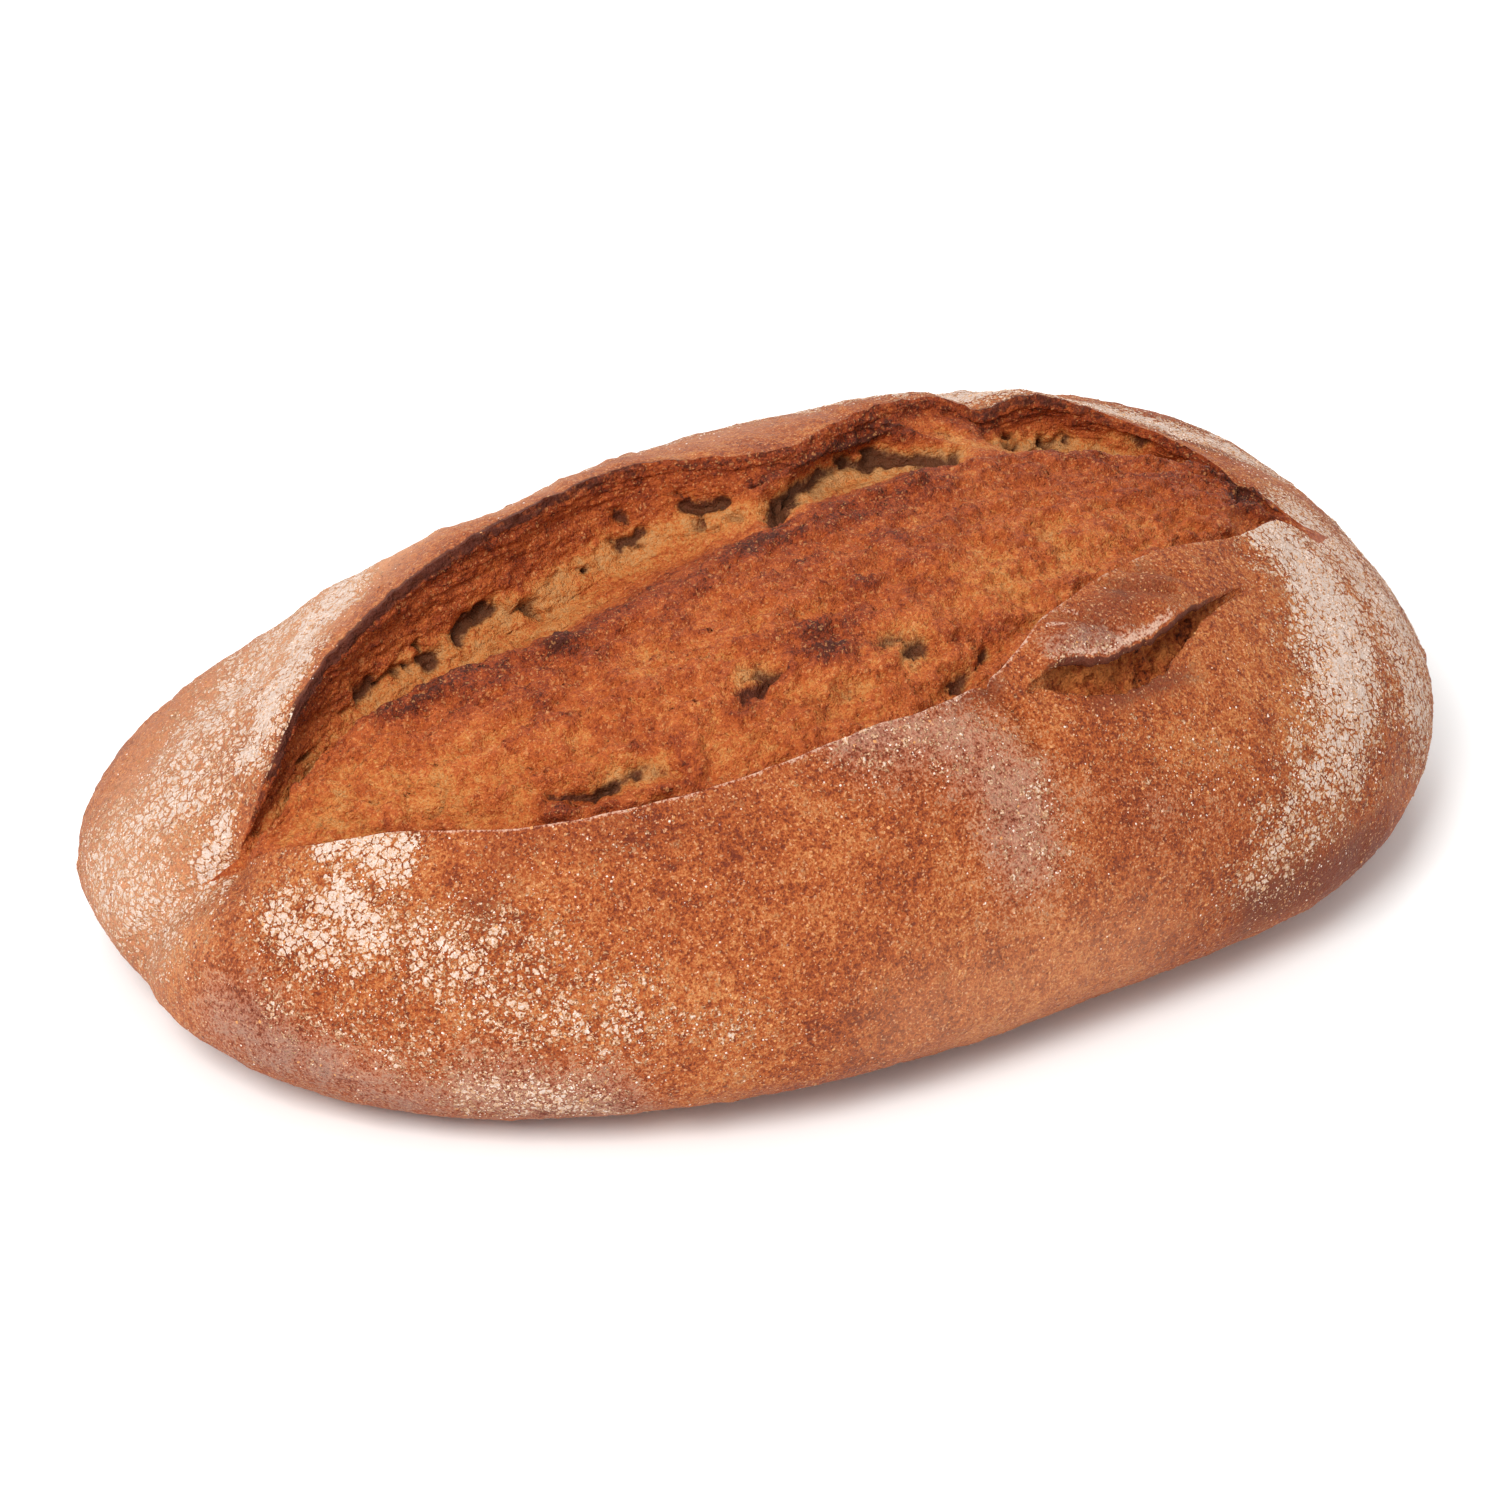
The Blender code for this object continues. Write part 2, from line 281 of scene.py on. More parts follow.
# The way from the viewer to the loaf, reversed, and how much further small marks reach along it
PRESSED_ALONG = np.array([-0.385, -0.734, 0.559])
PRESSED_SHARE = 0.75


@dataclass(frozen=True)
class Mark:
    """A soft-edged mark along a path on the loaf: a dent, a crease, a patch of flour, a darker place, or
    painted shade or light.
    """

    path: tuple[tuple[float, float, float], ...]
    reach: float
    amount: float
    pressed: bool = False

    def at(self, place: Array) -> Array:
        """Strength of the mark at each point, fading smoothly past its reach."""
        path = np.array(self.path, float)
        if self.pressed:
            place, path = (
                at - PRESSED_SHARE * (at @ PRESSED_ALONG)[..., None] * PRESSED_ALONG for at in (place, path)
            )
        return self.amount * np.exp(-((near_path(place, path) / self.reach) ** 2))


def pressed(*marks: Mark) -> tuple[Mark, ...]:
    """Small marks that reach further from the front and above into the loaf than sideways."""
    return tuple(replace(mark, pressed=True) for mark in marks)


def all_marks(marks: Sequence[Mark], place: Array) -> Array:
    """Add up several marks."""
    return sum((mark.at(place) for mark in marks), np.zeros(place.shape[:-1]))


def strongest(marks: Sequence[Mark], place: Array) -> Array:
    """Take the strongest of several marks at each point."""
    return np.maximum.reduce([mark.at(place) for mark in marks])


# Marks on the crust, in millimetres in the frame of the plain form
FLOUR_MARKS = (
    Mark(((100, -20, 71), (107, -40, 60), (99, -58, 53)), 16.0, 1.04),
    Mark(((96, -60, 50), (88, -71, 43)), 16.0, 0.84),
    Mark(((84, -74, 42), (66, -82, 32)), 14.0, 0.60),
    Mark(((119, -14, 59), (126, -34, 43), (120, -48, 34)), 18.0, 0.86),
    Mark(((136, -4, 44), (138, -20, 34)), 14.0, 0.74),
    Mark(((-116, -20, 56), (-107, -30, 58)), 7.5, 0.96),
    Mark(((-119, -28, 51), (-115, -38, 48)), 6.5, 0.90),
    Mark(((-130, -22, 44), (-125, -33, 42)), 7.0, 0.84),
    Mark(((-128, -22, 45), (-118, -38, 44), (-106, -48, 46), (-92, -58, 44)), 13.0, 0.60),
    Mark(((-106, -52, 42), (-90, -62, 38), (-76, -70, 34)), 15.0, 0.54),
    Mark(((-132, -30, 32), (-118, -48, 30), (-100, -62, 26)), 14.0, 0.40),
    Mark(((-104, -60, 18), (-84, -71, 15)), 11.0, 0.60),
    Mark(((-70, -74, 34), (-56, -78, 30)), 12.0, 0.38),
    Mark(((-84, 44, 70), (-98, 34, 72), (-108, 22, 68), (-118, 12, 61)), 10.0, 1.1),
    Mark(((-100, 50, 62), (-118, 34, 54), (-130, 22, 46)), 20.0, 0.78),
    Mark(((-128, 6, 51), (-136, 0, 42)), 6.0, 0.88),
    Mark(((-138, 26, 42), (-146, 30, 30), (-146, 6, 34)), 18.0, 0.70),
    Mark(((36, 54, 82), (74, 44, 78), (104, 38, 66), (124, 26, 54)), 15.0, 1.05),
    Mark(((-40, 60, 78), (36, 60, 80)), 12.0, 0.60),
    Mark(((60, 80, 45), (-60, 80, 45)), 26.0, 0.36),
    Mark(((-20, -58, 74), (4, -64, 71), (12, -74, 62), (10, -80, 50)), 11.0, 0.40),
    Mark(((40, -72, 60), (60, -76, 50)), 16.0, 0.24),
    Mark(((30, -54, 79), (44, -56, 78)), 3.5, 0.42),
    Mark(((-70, -60, 60), (-100, -46, 58)), 20.0, 0.20),
)
HAZE_MARKS = (
    Mark(((-16, -57, 75), (2, -63, 72), (10, -72, 63), (8, -80, 50)), 12.0, 0.9),
    Mark(((-104, -60, 18), (-84, -71, 15)), 14.0, 0.9),
    Mark(((-141, -22, 24), (-128, -44, 20), (-108, -62, 12)), 13.0, 0.85),
    Mark(((26, -77, 56), (52, -80, 46)), 12.0, 0.35),
    Mark(((30, -54, 79), (44, -56, 78)), 5.0, 0.8),
)
# Painted shade: darker crust on and under the tongue, under the front lip, in the dent at the left tip, by the
# ear's right end and low on the front and the left end
PAINTED_SHADE_MARKS = (
    Mark(((66, -84, 22), (80, -80, 21), (98, -69, 18)), 10.0, 0.85),
    Mark(((34, -52, 78), (60, -43, 80)), 7.0, 0.55),
    Mark(((-4, -54, 78), (13, -57, 76)), 4.5, 0.6),
    Mark(((34, -65, 71), (56, -62, 70)), 3.6, 0.65),
    Mark(((-97, -49, 53),), 6.0, 0.4),
    Mark(((-90, -44, 60), (-60, -54, 64), (-30, -56, 70)), 5.0, 0.30),
    Mark(((101, 26, 70), (112, 17, 66), (129, 15, 55)), 2.2, 0.75),
    Mark(((-134, -8, 47), (-150, 9, 24)), 3.0, 0.55),
    Mark(((-60, -80, 8), (60, -84, 8)), 8.0, 0.25),
    Mark(((-139, -30, 20), (-126, -48, 14), (-106, -64, 8)), 11.0, 0.45),
)
# Painted light: paler crust on the top and the left lobe, where light falls, and low on the front, where the
# table throws light back
PAINTED_LIGHT_MARKS = (
    Mark(((-102, 38, 70), (-76, 46, 76), (-50, 52, 82)), 13.0, 0.9),
    Mark(((-50, 52, 82), (-10, 54, 86), (20, 48, 88)), 12.0, 0.5),
    Mark(((-124, 38, 50), (-90, 58, 54)), 28.0, 0.75),
    Mark(((-146, 26, 30), (-144, 8, 30)), 16.0, 0.75),
    Mark(((-20, -84, 24), (30, -86, 24)), 14.0, 0.30),
)
CRUST_FOLDS = (
    Mark(((33, -46, 80), (39, -49, 81), (45, -54, 79)), 1.4, 1.5),
    Mark(((49, -41, 82), (56, -45, 81), (63, -46, 79)), 1.3, 1.3),
    Mark(((56, -38, 82), (63, -41, 81), (68, -42, 79)), 1.2, 1.1),
    Mark(((36, -52, 80), (46, -52, 80)), 3.0, -1.1),
    Mark(((48, -46, 81), (58, -49, 79)), 3.0, -1.1),
    Mark(((56, -41, 82), (64, -44, 80)), 2.2, -0.8),
    Mark(((10, -51, 74), (13, -58, 76), (16, -61, 73), (20, -65, 68)), 1.8, 1.6),
    Mark(((-96, 30, 72), (-76, 44, 74), (-50, 52, 78)), 3.0, -0.4),
)
# Painted highlights, with some flour dust, along the folds of the tongue
TONGUE_HIGHLIGHTS_AND_DUST = (
    Mark(((31, -49, 81), (37, -51, 82), (44, -56, 80)), 1.2, 1.1),
    Mark(((34, -45, 81), (41, -48, 82), (47, -53, 80)), 1.0, 1.05),
    Mark(((49, -43, 83), (56, -47, 82), (63, -48, 80)), 1.0, 1.05),
    Mark(((56, -40, 83), (63, -43, 82), (69, -44, 80)), 1.0, 1.05),
)
# Marks on the torn face
FLOOR_TEARS = pressed(
    Mark(((-77, -38, 67), (-70, -42, 67), (-65, -43, 68)), 1.1, 3.2),
    Mark(((-66, -42, 68), (-60, -44, 70), (-54, -46, 71)), 2.6, 2.2),
    Mark(((-78, -42, 65), (-66, -46, 66), (-56, -49, 68)), 2.0, -1.3),
    Mark(((-76, -34, 69), (-62, -39, 71), (-50, -42, 74)), 2.2, -0.9),
    Mark(((-35, -38, 79), (-30, -39, 79), (-25, -37, 79)), 1.3, 2.4),
    Mark(((-31, -33, 80), (-27, -35, 80)), 3.4, 1.8),
    Mark(((-22, -34, 81), (-16, -36, 81), (-10, -38, 81)), 2.2, -1.0),
    Mark(((-6, -38, 82), (0, -40, 82), (5, -42, 81)), 3.8, 2.2),
    Mark(((5, -38, 82), (9, -42, 81)), 1.6, -1.2),
    Mark(((-35, -42, 77), (-13, -47, 77)), 3.5, 1.2),
    Mark(((9, -51, 75), (13, -50, 76), (19, -46, 77)), 1.6, 3.0),
    Mark(((-97, -28, 63), (-93, -30, 63)), 1.5, 1.4),
    Mark(((-90, -31, 64), (-86, -34, 64)), 1.4, 1.3),
    Mark(((-83, -37, 64),), 1.2, 1.2),
    Mark(((-92, -1, 70), (-77, -2, 75), (-59, -7, 78)), 4.0, -0.8),
    Mark(((101, -11, 71), (106, -1, 69), (113, 3, 65)), 1.6, 1.8),
    Mark(((112, -4, 66), (122, 1, 60)), 1.3, 1.8),
    Mark(((104, -7, 71), (110, -2, 68)), 2.0, -1.2),
)
WALL_TEARS = pressed(
    Mark(((1, 13, 83), (5, 17, 84), (10, 20, 83), (19, 24, 83), (30, 26, 82)), 2.0, 2.6),
    Mark(((32, 27, 81), (38, 24, 81), (46, 18, 82)), 2.4, 3.0),
    Mark(((10, 23, 86), (19, 28, 86), (30, 30, 84), (36, 30, 85), (41, 28, 83), (47, 21, 82)), 1.5, -2.0),
    Mark(((0, 18, 84), (8, 22, 86)), 2.0, -1.6),
    Mark(((-60, 24, 72), (-65, 23, 70), (-69, 22, 68)), 1.7, 4.2),
    Mark(((-75, 20, 65), (-77, 20, 65)), 2.2, 3.0),
    Mark(((-82, 20, 66),), 1.2, 2.4),
    Mark(((-89, 20, 64), (-92, 19, 63)), 1.9, 3.4),
    Mark(((-36, 28, 72),), 1.2, 3.0),
    Mark(((-25, 33, 79),), 1.6, 3.0),
    Mark(((-27, 29, 75), (-22, 30, 76)), 1.7, 3.0),
    Mark(((-14, 28, 81), (-6, 23, 83)), 2.0, 4.0),
    Mark(((4, 16, 84), (0, 13, 83)), 1.8, 3.6),
    Mark(((45, 28, 83), (50, 25, 83)), 1.6, 1.6),
    Mark(((66, 27, 74), (69, 27, 74)), 1.4, 2.4),
    Mark(((76, 28, 73),), 1.1, 2.0),
    Mark(((82, 28, 71),), 1.5, 2.6),
    Mark(((88, 25, 70),), 1.1, 2.0),
    Mark(((94, 20, 71), (97, 19, 70)), 1.5, 2.6),
)
WALL_BROWNING = pressed(
    Mark(((10, 23, 86), (19, 28, 86), (30, 30, 84), (36, 30, 85), (41, 28, 83), (47, 21, 82)), 2.0, 0.30),
    Mark(((32, 27, 81), (46, 18, 82)), 2.4, -0.35),
    Mark(((8, 18, 83), (30, 25, 82)), 3.0, -0.30),
    Mark(((45, 28, 83), (52, 25, 83)), 3.0, -0.22),
    Mark(((64, 27, 74), (82, 28, 71), (97, 18, 71)), 3.2, -0.26),
    Mark(((-62, 24, 71), (-44, 26, 71)), 3.5, -0.18),
    Mark(((-40, 28, 73), (-14, 26, 80)), 3.5, -0.12),
    Mark(((0, 18, 85), (6, 24, 87)), 3.0, 0.22),
    Mark(((54, 24, 84), (70, 30, 84), (90, 28, 78)), 4.5, 0.30),
    Mark(((20, 34, 89), (40, 34, 89)), 3.5, 0.25),
)
FLOOR_BROWNING = pressed(
    Mark(((-92, -1, 70), (-83, -1, 73), (-66, -4, 77), (-56, -8, 78)), 6.0, 0.22),
    Mark(((-37, 18, 70), (-26, 13, 76), (-11, 5, 83)), 5.0, 0.28),
    Mark(((-3, 0, 85), (9, 5, 86), (30, 2, 86)), 7.0, 0.22),
    Mark(((4, -20, 84), (14, -32, 84)), 6.0, 0.18),
    Mark(((-17, -31, 82), (-6, -36, 82)), 5.0, 0.26),
    Mark(((-59, -34, 75), (-42, -35, 77)), 5.0, 0.14),
    Mark(((-34, -40, 79), (-26, -38, 79)), 2.2, 0.35),
    Mark(((78, -5, 78), (95, -16, 73), (84, -26, 75)), 10.0, 0.14),
    Mark(((108, 4, 67), (110, -14, 66)), 5.0, 0.30),
    Mark(((-112, -9, 59), (-102, -14, 65), (-92, -25, 66)), 9.0, -0.16),
    Mark(((20, -31, 83), (46, -28, 81)), 8.0, -0.14),
    Mark(((-47, -20, 80), (-42, -32, 78)), 7.0, -0.10),
    Mark(((-31, -33, 80), (-27, -35, 80)), 2.6, -0.30),
    Mark(((-5, -39, 82), (4, -42, 81)), 4.0, -0.30),
    Mark(((-66, -42, 69), (-54, -45, 71)), 2.4, -0.30),
    Mark(((-80, -41, 65), (-66, -45, 66)), 2.0, 0.18),
    Mark(((-18, -36, 81), (-8, -38, 81)), 3.0, 0.28),
    Mark(((101, -11, 71), (106, -1, 69), (113, 3, 65)), 3.0, 0.45),
    Mark(((112, -4, 66), (122, 1, 60)), 2.5, 0.45),
)


@dataclass(frozen=True)
class LoafForm:
    """The uncut loaf and the lines of its slashes, in millimetres and shares of the half width."""

    half_length: float = 150.0
    widest: float = 88.0
    crown_height: float = 89.0
    nose_height: float = 20.0
    bend: float = 18.3
    swell: float = 0.08
    lean: float = 0.07
    plan_power: float = 2.75
    spine_power: float = 1.9
    side_power: float = 2.3
    shoulder_power: float = 2.1
    tuck: float = 0.42
    set_back: float = 2.2
    slash: tuple[float, float] = (-134.0, 117.0)
    slash_opens: tuple[float, float] = (16.0, 12.0)
    front_lip: Course = (
        (-134, -0.39), (-126, -0.40), (-118, -0.465), (-110, -0.50), (-90, -0.61), (-60, -0.67), (-20, -0.66),
        (16, -0.62), (30, -0.545), (46, -0.47), (62, -0.43), (90, -0.41), (110, -0.37), (117, -0.41),
    )
    floor_ridge: Course = (
        (-134, -0.37), (-124, -0.30), (-112, -0.15), (-84, -0.06), (-60, -0.08), (-20, 0.02), (20, 0.08),
        (54, 0.09), (80, 0.03), (100, -0.11), (117, -0.40),
    )
    valley: Course = (
        (-134, -0.365), (-122, -0.235), (-110, -0.06), (-90, 0.10), (-60, 0.21), (-20, 0.30), (3, 0.17),
        (22, 0.27), (52, 0.20), (68, 0.26), (84, 0.22), (100, 0.03), (117, -0.39),
    )
    ear: Course = (
        (-134, -0.36), (-128, -0.30), (-122, -0.205), (-110, -0.02), (-90, 0.145), (-60, 0.28), (-22, 0.39),
        (4, 0.26), (30, 0.31), (52, 0.33), (62, 0.29), (68, 0.30), (84, 0.24), (100, 0.05), (117, -0.38),
    )
    closed_gap: float = 0.02
    valley_depth: Course = (
        (-134, 0), (-124, 5), (-104, 12), (-70, 14), (-20, 12), (6, 4), (18, 9), (36, 8), (54, 3), (68, 8),
        (92, 8), (106, 3), (117, 0),
    )
    ear_lift: Course = (
        (-134, 0), (-118, 5), (-96, 7.5), (-40, 8), (-4, 4.5), (12, 3), (34, 4), (50, 3.5), (62, 1.2),
        (72, 4), (96, 2), (117, 0),
    )
    floor_sink: Course = ((-134, 0), (-118, 2.0), (-90, 3.0), (0, 3.5), (80, 2.5), (117, 0))
    lip_step: Course = (
        (-134, 0), (-110, 1.6), (-40, 2.2), (-10, 2.4), (6, 4.0), (20, 3.4), (32, 1.2), (90, 1.4), (117, 0),
    )
    ridge_rise: float = 1.6
    lip_rise: float = 1.2
    lip_reach: float = 9.0
    ear_reach: float = 16.0
    rim_thickness: float = 2.4
    rim_nose: float = 1.2
    wall_hollow: float = 2.5
    short_slash: tuple[float, float] = (19.0, 86.0)
    short_opens: tuple[float, float] = (14.0, 26.0)
    short_lower: Course = ((16, -0.645), (28, -0.69), (40, -0.72), (52, -0.70), (66, -0.62), (90, -0.555))
    short_tongue: Course = ((16, -0.635), (28, -0.635), (40, -0.655), (52, -0.635), (66, -0.585), (90, -0.54))
    short_depth: float = 6.0
    tongue_rise: float = 3.0
    tongue_reach: float = 11.0
    tongue_thickness: float = 2.6
    narrowest_strip: float = 0.07
    body_lumps: tuple[float, float] = (80.0, 1.3)
    lumps_start: tuple[float, float] = (1.0, 16.0)
    seed: int = 5
    dents: tuple[Mark, ...] = (
        Mark(((6, -58, 74), (20, -68, 66)), 2.6, 1.8),
        Mark(((-134, -5, 46), (-151, 9, 22)), 5.5, 5.5),
        Mark(((-62, -42, 79), (-40, -41, 81)), 3.4, 2.6),
        Mark(((-16, -28, 88), (26, -32, 88)), 5.0, 2.2),
        Mark(((16, -42, 82), (26, -44, 81)), 3.0, 2.4),
        Mark(((98, 5, 71), (106, -3, 68)), 3.0, 3.2),
        Mark(((28, -86, 10), (58, -84, 10)), 15.0, 1.3),
        Mark(((-132, 49, 43), (-113, 48, 55)), 12.0, 4.2),
        Mark(((-84, 48, 69), (-65, 41, 80)), 12.0, -3.8),
        Mark(((-36, 37, 88), (-14, 39, 90)), 12.0, 1.0),
        Mark(((112, 40, 64), (128, 28, 52)), 12.0, 1.3),
    )
    core_height: float = 34.0
    core_pull: float = 0.75

    def end_fall(self, x: Array, power: float) -> Array:
        """1 in the middle of the loaf, falling to 0 at its two ends."""
        share = np.minimum(np.abs(x) / self.half_length, 1.0)
        return (1 - share**power) ** (1 / power)

    def half_width(self, x: Array) -> Array:
        """Half the loaf's width at a place along it."""
        return self.widest * self.end_fall(x, self.plan_power) * (1 + self.swell * x / self.half_length)

    def middle_line(self, x: Array) -> Array:
        """How far back the middle of the loaf lies: both ends bend to the back."""
        return self.bend * (x / self.half_length) ** 2

    def top_height(self, x: Array) -> Array:
        """Height of the uncut loaf along its middle line."""
        rise = (self.crown_height - self.nose_height) * self.end_fall(x, self.spine_power)
        return self.nose_height + rise * (1 + self.lean * x / self.half_length)

    def base_height(self, x: Array) -> Array:
        """Height of the underside: flat, but rounding up to the noses."""
        over = np.clip((np.abs(x) / self.half_length - 1 + self.tuck) / self.tuck, 0.0, 1.0)
        return self.nose_height * (1 - np.sqrt(1 - over**2))

    def crown(self, x: Array, share: Array) -> Array:
        """Height of the uncut top at a share of the half width."""
        fall = (1 - np.minimum(np.abs(share), 1.0) ** self.side_power) ** (1 / self.shoulder_power)
        return self.nose_height + (self.top_height(x) - self.nose_height) * fall

    def opening(self, x: Array) -> Array:
        """0 where the long slash is closed and 1 where it is open."""
        (start, end), (first, last) = self.slash, self.slash_opens
        return ease(start, start + first, x) * ease(-end, -end + last, -x)

    def short_opening(self, x: Array) -> Array:
        """0 where the short slash is closed and 1 where it is open."""
        (start, end), (first, last) = self.short_slash, self.short_opens
        return ease(start, start + first, x) * ease(-end, -end + last, -x)

    def slash_lines(self, x: Array) -> tuple[Array, Array, Array, Array]:
        """Trace the long slash.

        Args:
            x: places along the loaf.

        Returns:
            Shares of the front lip, the floor's ridge, the valley and the ear's edge, never crossing.
        """
        ear = through(self.ear, x) + self.closed_gap
        valley = np.minimum(through(self.valley, x), ear - self.closed_gap)
        ridge = np.minimum(through(self.floor_ridge, x), valley - self.closed_gap)
        lip = np.minimum(through(self.front_lip, x), ridge - self.closed_gap)
        return lip, ridge, valley, ear

    def short_lines(self, x: Array, lip: Array) -> tuple[Array, Array]:
        """Trace the short slash.

        Args:
            x: places along the loaf.
            lip: the long slash's front lip there.

        Returns:
            Shares of its lower lip and of the edge of the tongue of crust over it.
        """
        tongue = np.minimum(through(self.short_tongue, x), lip - self.narrowest_strip)
        return np.minimum(through(self.short_lower, x), tongue - 0.5 * self.closed_gap), tongue

    def settle(self, place: Array) -> Array:
        """Give points the loaf's slow unevenness and its dents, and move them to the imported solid's frame.

        Args:
            place: points of the plain form.

        Returns:
            The points of the real form.
        """
        x, y, z = place[..., 0], place[..., 1], place[..., 2]
        share = (y - self.middle_line(x)) / np.maximum(self.half_width(x), 1e-6)
        wavelength, height = self.body_lumps
        swelling = slow_lumps(place, wavelength, self.seed) * height * ease(*self.lumps_start, z)
        y = y + swelling * share
        z = z + swelling * (1 - np.minimum(np.abs(share), 1.0))
        place = np.stack([x, y, z], axis=-1)
        core = np.stack([x * self.core_pull, self.middle_line(x), np.full(x.shape, self.core_height)], -1)
        inward = core - place
        inward /= np.linalg.norm(inward, axis=-1, keepdims=True)
        place = place + inward * all_marks(self.dents, place)[..., None]
        return place - np.array([0.0, self.set_back, 0.0])


def slow_lumps(place: Array, wavelength: float, seed: int, waves: int = 24) -> Array:
    """Smooth unevenness, about -1 to 1: waves of about one length, running every way.

    Args:
        place: points in millimetres.
        wavelength: their usual length.
        seed: picks another set of waves.
        waves: how many there are.

    Returns:
        The unevenness at each point.
    """
    draw = np.random.default_rng(seed)
    total = np.zeros(place.shape[:-1])
    for _ in range(waves):
        way = draw.normal(size=3)
        way *= 2 * np.pi / (wavelength * draw.uniform(0.7, 1.6)) / np.linalg.norm(way)
        total += np.sin(place @ way + draw.uniform(0, 2 * np.pi))
    return total / np.sqrt(waves)


def surface_normals(grid: Array, outward: Array) -> Array:
    """Work out the normals of a grid of points.

    Args:
        grid: points, by rows and columns.
        outward: one direction that points out of the loaf over most of the grid.

    Returns:
        Unit normals, out of the loaf.
    """
    along = np.gradient(grid, axis=0)
    across = np.gradient(grid, axis=1)
    normal = np.cross(along, across)
    normal /= np.maximum(np.linalg.norm(normal, axis=-1, keepdims=True), 1e-9)
    if np.sum(normal * outward) < 0:
        normal = -normal
    return normal


def spread(y: Array, z: Array, weight: Array, count: int) -> tuple[Array, Array]:
    """Place points along a contour, closer where its weight is higher.

    Args:
        y: the contour's y values.
        z: its heights.
        weight: how close the points lie at each of them.
        count: how many points are placed, both ends included.

    Returns:
        The points' y values and heights.
    """
    step = np.hypot(np.diff(y), np.diff(z)) * 0.5 * (weight[1:] + weight[:-1])
    run = np.concatenate([[0.0], np.cumsum(step)])
    place = np.linspace(0.0, run[-1], count)
    return np.interp(place, run, y), np.interp(place, run, z)


def row_places(form: LoafForm, pitch: float, end_rows: int, end_length: float) -> Array:
    """Choose where the mesh's rows lie along the loaf: evenly, and closing up at its two round ends.

    Args:
        form: the loaf.
        pitch: millimetres between rows.
        end_rows: how many rows round each end.
        end_length: the length of each end stretch.

    Returns:
        Places along the loaf, left to right.
    """
    straight = form.half_length - end_length
    count = int(round(2 * straight / pitch))
    turn = np.arccos(straight / form.half_length) * (1 - np.arange(end_rows) / end_rows)
    end = form.half_length * np.cos(turn)
    return np.concatenate([-end[::-1], np.linspace(-straight, straight, count)[1:-1], end])


def held(columns: int) -> Array:
    """1 over most columns, easing to 0 at the first and the last, which another piece shares."""
    column = np.arange(columns)
    return ease(0, 3, column) * ease(0, 3, columns - 1 - column)


@dataclass
class SlashEdges:
    """The lines of both slashes on every row, as points, and how far each slash is open."""

    form: LoafForm
    x: Array
    lip_jitter: Grain = Grain(0.4, 9.0, 3, 101)
    ridge_jitter: Grain = Grain(1.6, 6.0, 4, 102, 0.75)
    ear_jitter: Grain = Grain(0.9, 7.0, 4, 103, 0.7)
    lift_jitter: Grain = Grain(0.9, 8.0, 4, 104, 0.7)
    tongue_jitter: Grain = Grain(0.8, 7.0, 4, 105, 0.75)
    lower_jitter: Grain = Grain(0.8, 6.0, 4, 106, 0.75)
    left_closing: tuple[float, float] = (-141.0, -133.0)
    right_closing: tuple[float, float] = (-124.0, -116.0)
    ear_gap: float = 0.008
    ridge_gap: float = 0.02
    char_course: Course = (
        (-134, 0.1), (-126, 0.5), (-118, 0.95), (-60, 1.0), (-34, 0.75), (-8, 0.35), (20, 0.25), (50, 0.4),
        (66, 0.7), (84, 0.6), (96, 0.2), (117, 0.0),
    )

    def __post_init__(self) -> None:
        """Trace the lines, with the small raggedness of a tear."""
        form, x = self.form, self.x
        line = np.stack([x, np.zeros_like(x), np.zeros_like(x)], -1)
        self.open = form.opening(x)
        width = np.maximum(form.half_width(x), 1e-6)
        lip, ridge, valley, ear = form.slash_lines(x)
        lip = lip + self.lip_jitter.at(line) * self.open / width
        ridge = ridge + self.ridge_jitter.at(line) * self.open / width
        ear = ear + self.ear_jitter.at(line) * self.open / width
        middle = 0.5 * (lip + ear)
        closing = ease(*self.left_closing, x) * ease(*self.right_closing, -x)
        self.lip = middle + (lip - middle) * closing
        self.ear = middle + (ear - middle) * closing
        self.valley = middle + (np.minimum(valley, ear - self.ear_gap) - middle) * closing
        self.ridge = middle + (np.minimum(ridge, valley - self.ridge_gap) - middle) * closing
        self.short_open = form.short_opening(x)
        lower, tongue = form.short_lines(x, self.lip)
        self.tongue = tongue + self.tongue_jitter.at(line) * self.short_open / width
        self.lower = lower + self.lower_jitter.at(line) * self.short_open / width
        self.width, self.middle = width, form.middle_line(x)
        self.lift = through(form.ear_lift, x) + self.lift_jitter.at(line) * self.open
        self.char = through(self.char_course, x) * self.open

    def y_at(self, share: Array) -> Array:
        """Where a share of the half width lies, in millimetres."""
        return self.middle + self.width * share

    def lip_swell(self, y: Array, z: Array) -> Array:
        """How far the front crust swells up towards the long slash's lip."""
        form = self.form
        spare = (self.y_at(self.lip).reshape(-1, 1) - y) / form.lip_reach
        above = ease(form.nose_height, form.nose_height + 15, z)
        return form.lip_rise * self.open.reshape(-1, 1) * above * np.exp(-(spare**2))


